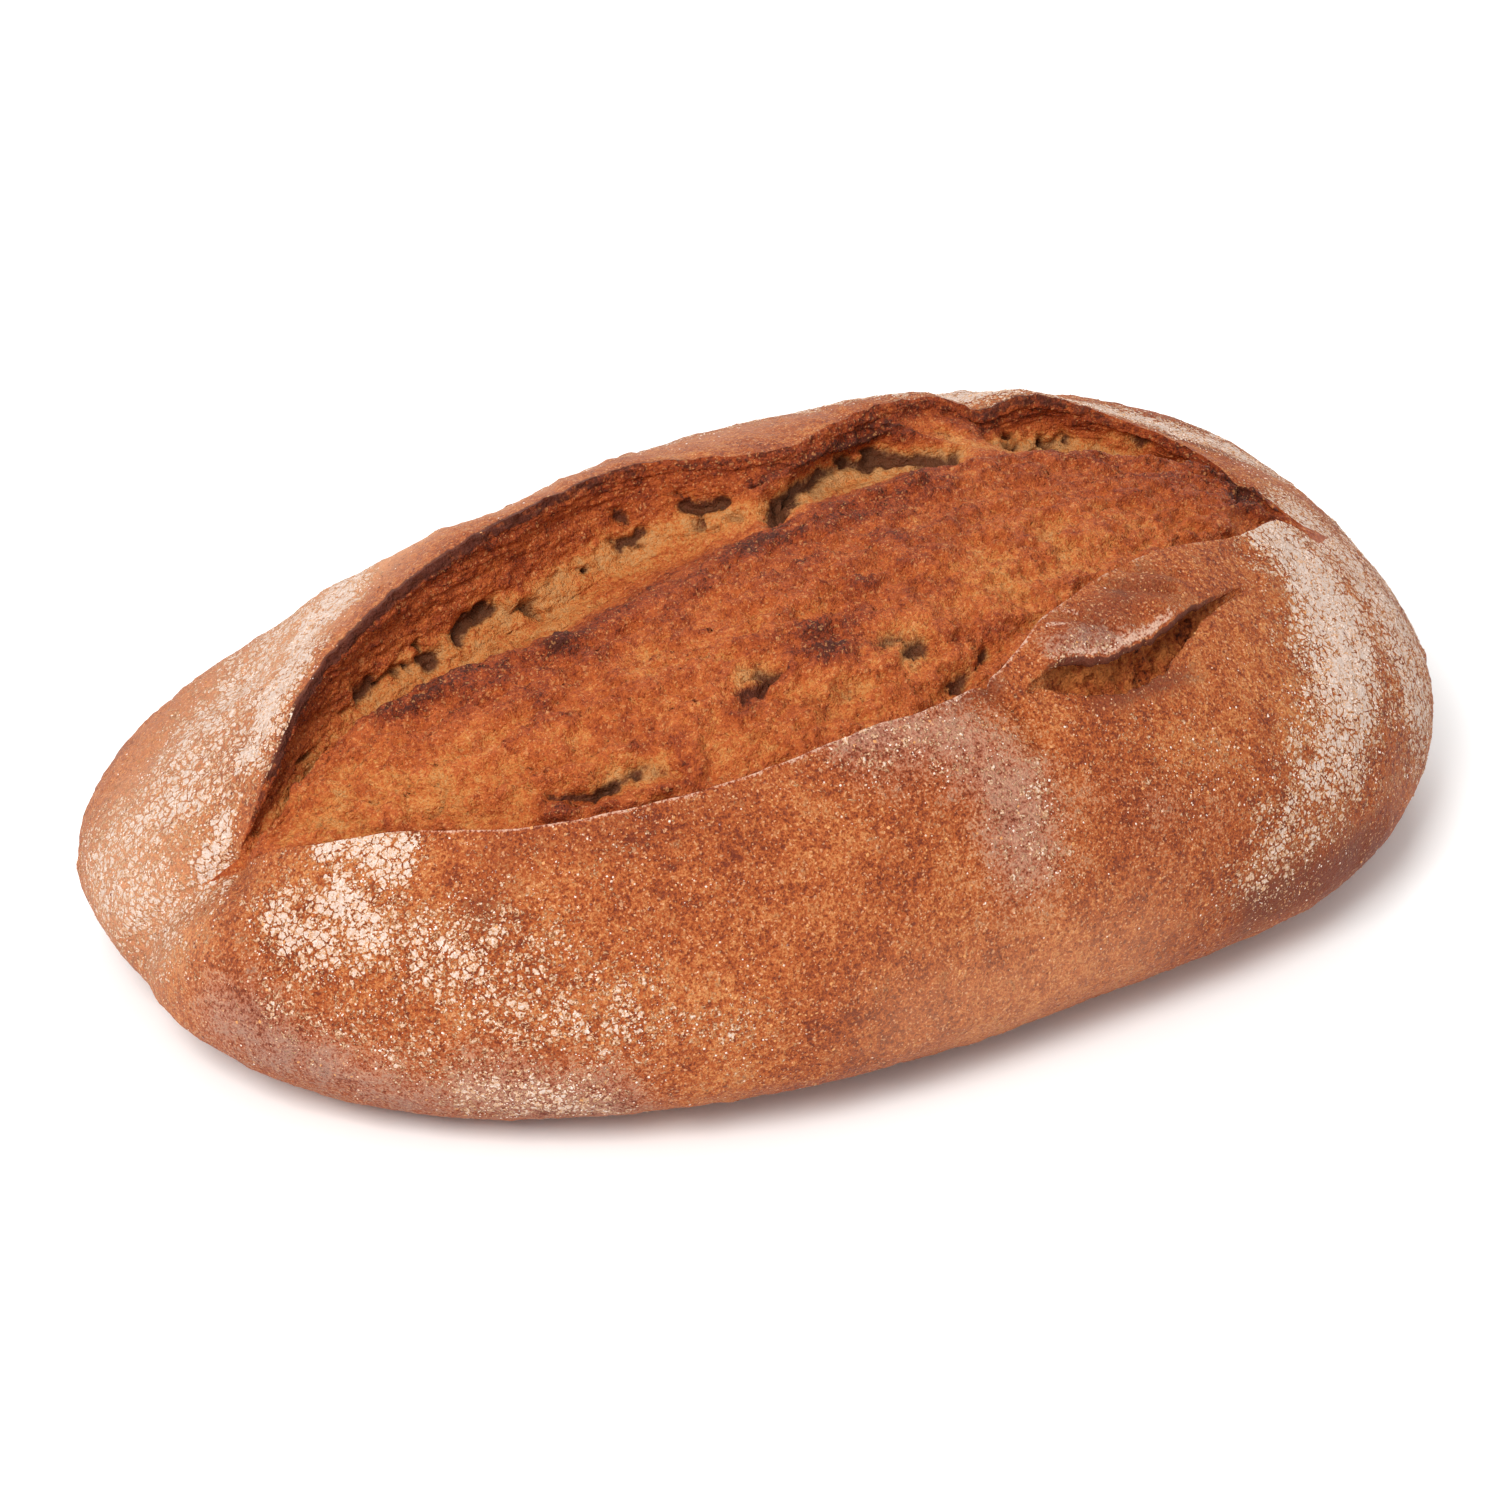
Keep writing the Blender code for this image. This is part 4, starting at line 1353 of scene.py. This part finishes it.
class Finish:
    """A finish's shader, with the few steps that bread's crust and crumb share."""

    # In millimetres: specks and cracks are read at points moved about, so that none is round or straight
    WANDER_SIZE = 0.9
    WANDER_REACH = 1.1

    def __init__(self, name: str, roughness: float, ior: float) -> None:
        """Start the material.

        Args:
            name: what the surface really is.
            roughness: its roughness.
            ior: its index of refraction.
        """
        self.material = bpy.data.materials.new(name)
        self.material.use_nodes = True
        self.tree = self.material.node_tree
        self.tree.nodes.clear()
        self.coords = put(self.tree, "ShaderNodeTexCoord").outputs["Object"]
        sockets = {"Vector": self.coords, "Scale": grain_scale(self.WANDER_SIZE), "Detail": 1.0}
        wander = put(self.tree, "ShaderNodeTexNoise", sockets).outputs["Color"]
        sockets = {0: wander, 1: (self.WANDER_REACH * MM,) * 3, 2: self.coords}
        self.ragged = put(self.tree, "ShaderNodeVectorMath", sockets, operation="MULTIPLY_ADD").outputs[0]
        self.shader = put(self.tree, "ShaderNodeBsdfPrincipled", {"Roughness": roughness, "IOR": ior})
        put(self.tree, "ShaderNodeOutputMaterial", {"Surface": self.shader.outputs["BSDF"]})

    def mark(self, name: str) -> bpy.types.NodeSocket:
        """Read one of the piece's point attributes."""
        return put(self.tree, "ShaderNodeAttribute", attribute_name=name).outputs["Fac"]

    def step(
        self, value: bpy.types.NodeSocket, low: float, high: float, to: float = 1.0
    ) -> bpy.types.NodeSocket:
        """Rise smoothly from 0 at low to a height at high."""
        sockets = {0: value, 1: low, 2: high, 3: 0.0, 4: to}
        return put(self.tree, "ShaderNodeMapRange", sockets, interpolation_type="SMOOTHSTEP").outputs[0]

    def mottle(
        self, size: float, detail: float = 3.0, keep: float = 0.6, shift: float = 0.0, stretch: float = 1.0
    ) -> bpy.types.NodeSocket:
        """Uneven patches from 0 to 1.

        Args:
            size: their size in millimetres.
            detail: how many finer octaves they have.
            keep: how strong each finer octave is.
            shift: moves the pattern, in metres, so that two of one size differ.
            stretch: how much longer the patches are along the loaf.

        Returns:
            The patches' value.
        """
        sockets = {0: self.coords, 1: (1 / stretch, 1.0, 1.0), 2: (shift, shift, shift)}
        where = put(self.tree, "ShaderNodeVectorMath", sockets, operation="MULTIPLY_ADD").outputs[0]
        sockets = {"Vector": where, "Scale": grain_scale(size), "Detail": detail, "Roughness": keep}
        noise_value = put(self.tree, "ShaderNodeTexNoise", sockets).outputs["Fac"]
        return put(self.tree, "ShaderNodeMapRange", {0: noise_value, 1: 0.28, 2: 0.72}).outputs[0]

    def blend(self, *terms: tuple[bpy.types.NodeSocket, float]) -> bpy.types.NodeSocket:
        """Add values up, each times a weight."""
        total: object = 0.0
        for value, weight in terms:
            sockets = {0: value, 1: weight, 2: total}
            total = put(self.tree, "ShaderNodeMath", sockets, operation="MULTIPLY_ADD").outputs[0]
        return total

    def both(self, a: bpy.types.NodeSocket, b: bpy.types.NodeSocket | float) -> bpy.types.NodeSocket:
        """One value times another."""
        return put(self.tree, "ShaderNodeMath", {0: a, 1: b}, operation="MULTIPLY").outputs[0]

    def mix(self, share: bpy.types.NodeSocket, under: object, over: object) -> bpy.types.NodeSocket:
        """Lay one colour over another. Either may be a hex colour."""
        colours = [linear(c) if isinstance(c, str) else c for c in (under, over)]
        sockets = {0: share, 6: colours[0], 7: colours[1]}
        return put(self.tree, "ShaderNodeMix", sockets, data_type="RGBA", clamp_factor=True).outputs[2]

    def ramp(self, value: bpy.types.NodeSocket, *stops: tuple[float, str]) -> bpy.types.NodeSocket:
        """Turn a value into a colour between stops."""
        return put(self.tree, "ShaderNodeValToRGB", {0: value}, stops=stops).outputs[0]

    def plus(self, value: bpy.types.NodeSocket, more: float) -> bpy.types.NodeSocket:
        """A value and a number added up."""
        return put(self.tree, "ShaderNodeMath", {0: value, 1: more}, operation="ADD").outputs[0]

    def lay(
        self,
        colour: bpy.types.NodeSocket,
        layers: Sequence["Specks | Stain"],
        noises: Sequence[bpy.types.NodeSocket],
    ) -> bpy.types.NodeSocket:
        """Lay specks, stains, painted shade and painted light over a colour, one after the other.

        Args:
            colour: the colour below.
            layers: the specks, stains, painted shade and painted light, lowest first.
            noises: the finish's noises, which break the stains and the painted shade and light up.

        Returns:
            The colour with all of them on it.
        """
        for layer in layers:
            colour = self.mix(layer.cover(self, noises), colour, layer.hue)
        return colour

    def specks(self, spacing: float, radius: float, share: float) -> bpy.types.NodeSocket:
        """Small ragged specks.

        Args:
            spacing: millimetres between possible specks.
            radius: a speck's radius in millimetres.
            share: how many of the places have one.

        Returns:
            1 on a speck and 0 off it.
        """
        cell = put(self.tree, "ShaderNodeTexVoronoi", {"Vector": self.ragged, "Scale": grain_scale(spacing)})
        here = self.step(cell.outputs["Distance"], radius / spacing, 0.45 * radius / spacing)
        own = put(self.tree, "ShaderNodeSeparateColor", {0: cell.outputs["Color"]}).outputs[0]
        return self.both(here, self.step(own, 1 - share, 1 - share + 0.05))

    def cracks(self, spacing: float, width: float) -> bpy.types.NodeSocket:
        """A net of thin cracks, 1 in a crack: millimetres between them, and half a crack's width."""
        sockets = {"Vector": self.ragged, "Scale": grain_scale(spacing)}
        cell = put(self.tree, "ShaderNodeTexVoronoi", sockets, feature="DISTANCE_TO_EDGE")
        return self.step(cell.outputs["Distance"], width / spacing, 0.0)

    def end(
        self,
        colour: bpy.types.NodeSocket,
        roughness: bpy.types.NodeSocket,
        height: bpy.types.NodeSocket,
        depth: float,
    ) -> bpy.types.Material:
        """Link the finish up.

        Args:
            colour: the surface's colour.
            roughness: its roughness.
            height: its fine relief, 0 to 1.
            depth: the relief's height in millimetres.

        Returns:
            The material.
        """
        bump = put(self.tree, "ShaderNodeBump", {"Strength": 1.0, "Distance": depth * MM, "Height": height})
        for socket, value in (("Base Color", colour), ("Roughness", roughness), ("Normal", bump.outputs[0])):
            self.tree.links.new(value, self.shader.inputs[socket])
        return self.material


@dataclass(frozen=True)
class Specks:
    """Small specks: millimetres between possible ones, their radius, the share of places that have one, how
    strongly they cover, and their colour."""

    spacing: float
    radius: float
    share: float
    strength: float
    hue: str

    def cover(self, finish: Finish, noises: Sequence[bpy.types.NodeSocket]) -> bpy.types.NodeSocket:
        """How far the specks cover what is below them."""
        return finish.both(finish.specks(self.spacing, self.radius, self.share), self.strength)


@dataclass(frozen=True)
class Stain:
    """A stain, painted shade or painted light where an attribute is high, broken up by the finish's noises,
    each with its own weight.
    """

    mark: str
    weight: float
    noise_weights: tuple[float, ...]
    low: float
    high: float
    strength: float
    hue: str

    def cover(self, finish: Finish, noises: Sequence[bpy.types.NodeSocket]) -> bpy.types.NodeSocket:
        """How far the stain, painted shade or painted light covers what is below it."""
        broken = [(noise_value, weight) for noise_value, weight in zip(noises, self.noise_weights) if weight]
        tone = finish.blend((finish.mark(self.mark), self.weight), *broken)
        return finish.step(tone, self.low, self.high, self.strength)


@dataclass(frozen=True)
class BakedCrust:
    """Baked wholemeal crust: a dry, matt, orange-brown skin, freckled with bran and dusted with rye flour.

    The specks are bran of about 1 mm. The flour's clumps of 1 to 4 mm are as large as real ones. Its single
    grains are 0.05 to 0.3 mm, too fine to show, and are drawn as coarse as 0.5 to 1 mm.
    """

    dark: str = "6b270c"
    middle: str = "a34d1c"
    light: str = "d08a50"
    # Painted light: the paler hue laid where the light mark lies, and how strongly it is laid
    painted_light_hue: str = "dc9e76"
    painted_light_strength: float = 0.72
    crumb_dark: str = "451a0b"
    crumb_mid: str = "a24a1c"
    crumb: str = "cf7a3c"
    flour: str = "e9dacf"
    flour_shade: str = "c8a793"
    flour_toasted: str = "d09a6c"
    layers: tuple[Specks | Stain, ...] = (
        Specks(1.6, 0.38, 0.5, 0.55, "5c2410"),
        # Painted shade where the dark mark lies
        Stain("dark", 1.0, (0.5, 0.5, 0.0), 0.55, 1.35, 0.85, "682a16"),
        Specks(0.9, 0.28, 0.7, 0.65, "dfa77a"),
        Specks(1.9, 0.45, 0.4, 0.5, "dfa77a"),
        Stain("haze", 0.8, (0.5, 0.6, 0.6), 1.1, 1.8, 0.62, "b08a79"),
        Stain("rim", 1.0, (0.7, 0.4, 0.0), 0.75, 1.25, 0.95, "582413"),
        # Painted highlights with some flour dust, along the lip's and the tongue's edges
        Stain("lip", 1.0, (0.7, 0.8, 0.6), 1.65, 2.25, 0.8, "d8b09a"),
        # Painted shade on the underside of the tongue's edge
        Stain("under", 1.0, (0.0, 0.5, 0.0), 0.6, 1.1, 0.9, "582413"),
    )
    depth: float = 0.9

    def material(self) -> bpy.types.Material:
        """Make the crust's material."""
        finish = Finish("baked_wholemeal_crust", 0.6, 1.32)
        patches = finish.mottle(26.0, 2.0, 0.5)
        mottle = finish.mottle(6.0, 4.0)
        grain = finish.mottle(1.2, 3.0, 0.7)
        fine = finish.mottle(0.5, 2.0, 0.6, 3.0)
        tone = finish.blend((patches, 0.15), (mottle, 0.20), (grain, 0.35), (fine, 0.30))
        colour = finish.ramp(tone, (0.30, self.dark), (0.5, self.middle), (0.74, self.light))
        # Painted light: paler where the light mark lies
        colour = finish.mix(finish.both(finish.mark("light"), self.painted_light_strength), colour, self.painted_light_hue)
        colour = finish.lay(colour, self.layers, (mottle, grain, fine))
        torn_tone = finish.blend((mottle, 0.5), (grain, 0.5))
        torn = finish.ramp(torn_tone, (0.22, self.crumb_dark), (0.42, self.crumb_mid), (0.70, self.crumb))
        colour = finish.mix(finish.mark("torn"), colour, torn)
        cover, powder = self.dusting(finish, fine)
        colour = finish.mix(cover, colour, powder)
        rough_value = finish.blend((grain, 0.16), (cover, 0.2), (finish.mark("flour"), 0.1))
        height = finish.blend((grain, 0.40), (fine, 0.30), (cover, 0.30))
        return finish.end(colour, finish.plus(rough_value, 0.5), height, self.depth)

    def dusting(
        self, finish: Finish, fine: bpy.types.NodeSocket
    ) -> tuple[bpy.types.NodeSocket, bpy.types.NodeSocket]:
        """Dust the crust with flour.

        Args:
            finish: the crust's finish.
            fine: its finest noise.

        Returns:
            Where the flour covers the crust, and its colour: pale where thick and toasted where thin.
        """
        clumps = finish.mottle(4.0, 3.0, 0.65, 7.0)
        grains = finish.mottle(1.0, 2.0, 0.7, 5.0)
        cracks = finish.cracks(2.0, 0.30)
        flour = finish.mark("flour")
        dust = finish.blend((flour, 1.0), (clumps, 0.46), (grains, 0.58), (fine, 0.34), (cracks, -0.50))
        powder = finish.mix(finish.blend((grains, 0.5), (fine, 0.5)), self.flour_shade, self.flour)
        powder = finish.mix(finish.step(dust, 1.12, 1.56), self.flour_toasted, powder)
        return finish.step(dust, 1.03, 1.24, 0.92), powder


@dataclass(frozen=True)
class TornCrumb:
    """Torn and baked crumb: pale and moist where it opened last, orange-brown where the oven reached it, and
    charred along the ear's thin edge. Its bubbles and mottling are as large as real ones."""

    pale: str = "c08a55"
    tan: str = "c47a3c"
    orange: str = "b45824"
    brown: str = "883511"
    char: str = "4c1d0d"
    layers: tuple[Specks | Stain, ...] = (
        Specks(1.9, 0.55, 0.55, 0.5, "d39058"),
        # Painted glints: fine pale flecks where the glossy crumb would catch the light
        Specks(0.8, 0.26, 0.8, 0.5, "dc9c62"),
        Specks(1.3, 0.40, 0.35, 0.45, "883511"),
        Stain("rim", 1.0, (0.7, 0.6, 0.0), 0.95, 1.6, 0.92, "4c1d0d"),
        # Painted shade in the tears, holes and hollows
        Stain("deep", 1.0, (0.0, 0.35, 0.2), 0.35, 1.15, 0.9, "4a1f0e"),
    )
    depth: float = 0.9

    def material(self) -> bpy.types.Material:
        """Make the torn crumb's material."""
        finish = Finish("torn_baked_crumb", 0.6, 1.32)
        patches = finish.mottle(10.0, 3.0, 0.6, 1.0, 1.2)
        mottle = finish.mottle(3.6, 4.0, 0.65, 0.0, 1.3)
        small = finish.mottle(1.2, 3.0, 0.7, 2.0)
        fine = finish.mottle(0.5, 2.0, 0.6, 4.0)
        streaks = finish.mottle(2.4, 3.0, 0.6, 6.0, 0.5)
        noises = ((patches, 0.20), (mottle, 0.34), (small, 0.40), (fine, 0.44), (streaks, 0.20))
        tone = finish.blend((finish.mark("bake"), 1.0), *noises)
        hues = (self.pale, self.tan, self.orange, self.brown, self.char)
        colour = finish.ramp(finish.both(tone, 0.5), *zip((0.38, 0.51, 0.65, 0.85, 1.05), hues))
        colour = finish.lay(colour, self.layers, (mottle, small, fine))
        height = finish.blend((mottle, 0.25), (small, 0.45), (fine, 0.30))
        return finish.end(colour, finish.plus(finish.both(small, 0.2), 0.46), height, self.depth)


@dataclass(frozen=True)
class Studio:
    """A pale table in soft daylight, and the camera."""

    floor_size: float = 6.0
    floor_colour: str = "fbfbfa"
    sky: float = 0.78
    elevation: float = 34.0
    turn: float = 27.7
    distance: float = 1.05
    look: tuple[float, float, float] = (-0.0153, -0.0114, 0.040)
    boxes: tuple[tuple[str, float, float, tuple[float, float, float]], ...] = (
        ("key_soft_box", 0.6, 16.0, (-0.75, -0.55, 1.05)),
        ("back_soft_box", 0.8, 6.0, (0.5, 0.8, 1.1)),
    )
    sensor: float = 36.0
    focal_pixels: float = 4996.0
    frame_pixels: float = 1512.0

    def table(self) -> None:
        """Lay the table that the loaf stands on."""
        bpy.ops.object.select_all(action="DESELECT")
        bpy.ops.mesh.primitive_plane_add(size=self.floor_size, location=(0, 0, 0))
        table = bpy.context.object
        table.name = "table"
        finish = Finish("matt_white_table", 0.7, 1.45)
        finish.shader.inputs["Base Color"].default_value = linear(self.floor_colour)
        table.data.materials.append(finish.material)

    def lights(self) -> None:
        """Hang a large soft box over the front left, a weaker one over the back right, and an even sky."""
        world = bpy.data.worlds.new("daylight")
        bpy.context.scene.world = world
        world.use_nodes = True
        world.node_tree.nodes["Background"].inputs[0].default_value = (1.0, 1.0, 1.0, 1.0)
        world.node_tree.nodes["Background"].inputs[1].default_value = self.sky
        for name, size, power, place in self.boxes:
            light = bpy.data.objects.new(name, bpy.data.lights.new(name, "AREA"))
            bpy.context.collection.objects.link(light)
            light.data.size = size
            light.data.energy = power
            light.location = place
            light.rotation_euler = Vector(place).to_track_quat("Z", "Y").to_euler()

    def camera(self) -> None:
        """Stand the camera where the photograph was taken from."""
        up, turn = math.radians(self.elevation), math.radians(self.turn)
        back = Vector((-math.sin(turn) * math.cos(up), -math.cos(turn) * math.cos(up), math.sin(up)))
        camera = bpy.data.objects.new("camera", bpy.data.cameras.new("camera"))
        bpy.context.collection.objects.link(camera)
        camera.data.sensor_width = self.sensor
        camera.data.lens = self.sensor * self.focal_pixels / self.frame_pixels
        camera.location = Vector(self.look) + back * self.distance
        camera.rotation_euler = back.to_track_quat("Z", "Y").to_euler()
        bpy.context.scene.camera = camera

    def set_up(self) -> None:
        """Make the table, the lights and the camera."""
        self.table()
        self.lights()
        self.camera()
        bpy.context.scene.view_settings.view_transform = "Standard"


@dataclass(frozen=True)
class RyeFlour:
    """Loose rye flour: dry, matt, off-white grains, some of them yellowed by the oven.

    Real grains are 0.05 to 0.3 mm, too fine to show, and are drawn as coarse as 0.2 to 0.62 mm.
    """

    white: str = "ecd9cc"
    toasted: str = "cf9d72"

    def material(self) -> bpy.types.Material:
        """Make the flour's material."""
        finish = Finish("loose_rye_flour", 0.85, 1.32)
        tone = finish.blend((finish.mottle(2.5, 2.0), 0.5), (finish.mottle(0.6, 1.0, 0.5, 1.0), 0.5))
        colour = finish.ramp(tone, (0.36, self.toasted), (0.66, self.white))
        height = finish.mottle(0.2, 1.0, 0.5, 2.0)
        return finish.end(colour, finish.step(height, 0.0, 1.0, 0.9), height, 0.05)


@dataclass(frozen=True)
class BranFlakes:
    """Bits of wheat bran baked into the skin: thin flakes, from straw to dark brown, with a slight sheen.

    They are as large as real ones.
    """

    straw: str = "c98a52"
    brown: str = "6e2f14"

    def material(self) -> bpy.types.Material:
        """Make the bran's material."""
        finish = Finish("toasted_wheat_bran", 0.5, 1.4)
        tone = finish.mottle(1.5, 1.0, 0.5)
        colour = finish.ramp(tone, (0.38, self.brown), (0.52, self.straw))
        return finish.end(colour, finish.step(tone, 0.0, 1.0, 0.6), finish.mottle(0.4, 1.0), 0.05)


@dataclass
class Scatter:
    """Many small bits of one kind that lie on a patch of the loaf, as one joined mesh.

    smallest and largest are a bit's width in millimetres. flatness is its height beside its width, and sink
    is how deep it sits, beside half its width.
    """

    patch: Patch
    count: int
    smallest: float
    largest: float
    flatness: float
    sink: float
    seed: int

    def places(self, density: Array) -> tuple[Array, Array]:
        """Draw where the bits lie.

        Args:
            density: how likely a bit is in each of the patch's cells, for each square millimetre.

        Returns:
            Points in millimetres, and the outward normals there.
        """
        draw = np.random.default_rng(self.seed)
        grid = self.patch.points
        along, across = np.diff(grid, axis=0)[:, :-1], np.diff(grid, axis=1)[:-1]
        normal = np.cross(along, across)
        size = np.linalg.norm(normal, axis=-1)
        weight = (size * density[:-1, :-1]).ravel()
        cell = draw.choice(weight.size, self.count, p=weight / weight.sum())
        row, column = np.unravel_index(cell, size.shape)
        u, v = draw.random((2, self.count, 1))
        place = grid[row, column] + along[row, column] * u + across[row, column] * v
        facing = normal[row, column] / np.maximum(size[row, column], 1e-9)[:, None]
        out = place - np.array([0.0, 0.0, 30.0])
        facing *= np.sign(np.sum(facing * out, axis=-1, keepdims=True))
        return place, facing

    def piece(self, name: str, finish: bpy.types.Material, density: Array) -> bpy.types.Object:
        """Model the bits as uneven, squashed octahedra, turned at random and sunk a little into the patch.

        Args:
            name: the piece's name.
            finish: its material.
            density: how likely a bit is in each of the patch's cells.

        Returns:
            The new piece.
        """
        place, facing = self.places(density)
        draw = np.random.default_rng(self.seed + 1)
        side = np.cross(facing, draw.normal(size=facing.shape))
        side /= np.linalg.norm(side, axis=-1, keepdims=True)
        other = np.cross(facing, side)
        half = 0.5 * (self.smallest + (self.largest - self.smallest) * draw.random(self.count) ** 2)
        reach = half[:, None] * draw.uniform(0.7, 1.3, (self.count, 6))
        reach[:, 4:] *= self.flatness
        arms = np.stack([side, -side, other, -other, facing, -facing], axis=1)
        corners = place[:, None, :] + arms * reach[..., None]
        corners += (facing * half[:, None] * (self.flatness - self.sink))[:, None, :]
        upper = [(0, 2, 4), (2, 1, 4), (1, 3, 4), (3, 0, 4)]
        lower = [(2, 0, 5), (1, 2, 5), (3, 1, 5), (0, 3, 5)]
        ring = np.array(upper + lower)
        faces = (np.arange(self.count)[:, None, None] * 6 + ring).reshape(-1, 3)
        bpy.ops.object.select_all(action="DESELECT")
        bpy.ops.mesh.primitive_plane_add(size=MM, location=(0, 0, 0))
        piece = bpy.context.object
        mesh = piece.data
        mesh.clear_geometry()
        mesh.from_pydata((corners.reshape(-1, 3) * MM).tolist(), [], faces.tolist())
        piece.name = mesh.name = name
        mesh.materials.append(finish)
        bpy.ops.object.mode_set(mode="EDIT")
        bpy.ops.mesh.select_all(action="SELECT")
        bpy.ops.mesh.normals_make_consistent(inside=False)
        bpy.ops.object.mode_set(mode="OBJECT")
        return piece


@dataclass
class HearthLoaf:
    """The whole loaf: its crust and its torn face, on shared rows, and the loose flour and bran on it."""

    form: LoafForm = field(default_factory=LoafForm)
    row_pitch: float = 0.64
    end_rows: int = 18
    end_length: float = 10.0
    torn_reach: tuple[float, float] = (-141.5, 124.5)
    flour_grains: int = 22000
    bran_flakes: int = 3000
    flour_clumps: Grain = Grain(1.0, 5.0, 3, 501)
    bran_clumps: Grain = Grain(1.0, 14.0, 2, 503)

    def build(self) -> list[bpy.types.Object]:
        """Make the loaf's pieces.

        Returns:
            The crust, the torn face, the loose flour and the bran.
        """
        rows = row_places(self.form, self.row_pitch, self.end_rows, self.end_length)
        crust_finish, torn_finish = BakedCrust().material(), TornCrumb().material()
        crust_patch = Crust(self.form, SlashEdges(self.form, rows)).patch()
        crust = crust_patch.piece("loaf_crust", crust_finish)
        LOG.info("crust: %d points", len(crust.data.vertices))
        near = rows[(rows > self.torn_reach[0]) & (rows < self.torn_reach[1])]
        torn = TornFace(self.form, SlashEdges(self.form, near)).patch().piece("loaf_torn_face", torn_finish)
        LOG.info("torn face: %d points", len(torn.data.vertices))
        flour, bran = self.scattered(crust_patch)
        LOG.info("scattered: %d and %d faces", len(flour.data.polygons), len(bran.data.polygons))
        for piece in (crust, torn, flour, bran):
            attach(piece, "root")
        for piece in (crust, torn):
            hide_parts(NODE)
        return [crust, torn, flour, bran]

    def scattered(self, patch: Patch) -> tuple[bpy.types.Object, bpy.types.Object]:
        """Strew loose flour and bran over the crust.

        Args:
            patch: the crust.

        Returns:
            The flour's grains and the bran's flakes.
        """
        place, mark = patch.points, patch.marks
        clear = (1 - mark["torn"]) * ease(4.0, 12.0, place[..., 2])
        clumps = 0.15 + ease(-0.05, 0.35, self.flour_clumps.at(place))
        dusted = clear * (mark["flour"] ** 1.6 * clumps + 0.002)
        even = clear * (0.3 + ease(-0.2, 0.4, self.bran_clumps.at(place)))
        flour = Scatter(patch, self.flour_grains, 0.2, 0.62, flatness=0.5, sink=0.3, seed=502)
        bran = Scatter(patch, self.bran_flakes, 0.3, 0.9, flatness=0.15, sink=0.1, seed=504)
        return (
            flour.piece("loaf_flour", RyeFlour().material(), dusted),
            bran.piece("loaf_bran", BranFlakes().material(), even),
        )


def main() -> None:
    """Build the loaf and the studio."""
    logging.basicConfig(level=logging.INFO, format="%(name)s: %(message)s")
    HearthLoaf().build()
    Studio().set_up()


if __name__ == "__main__":
    main()
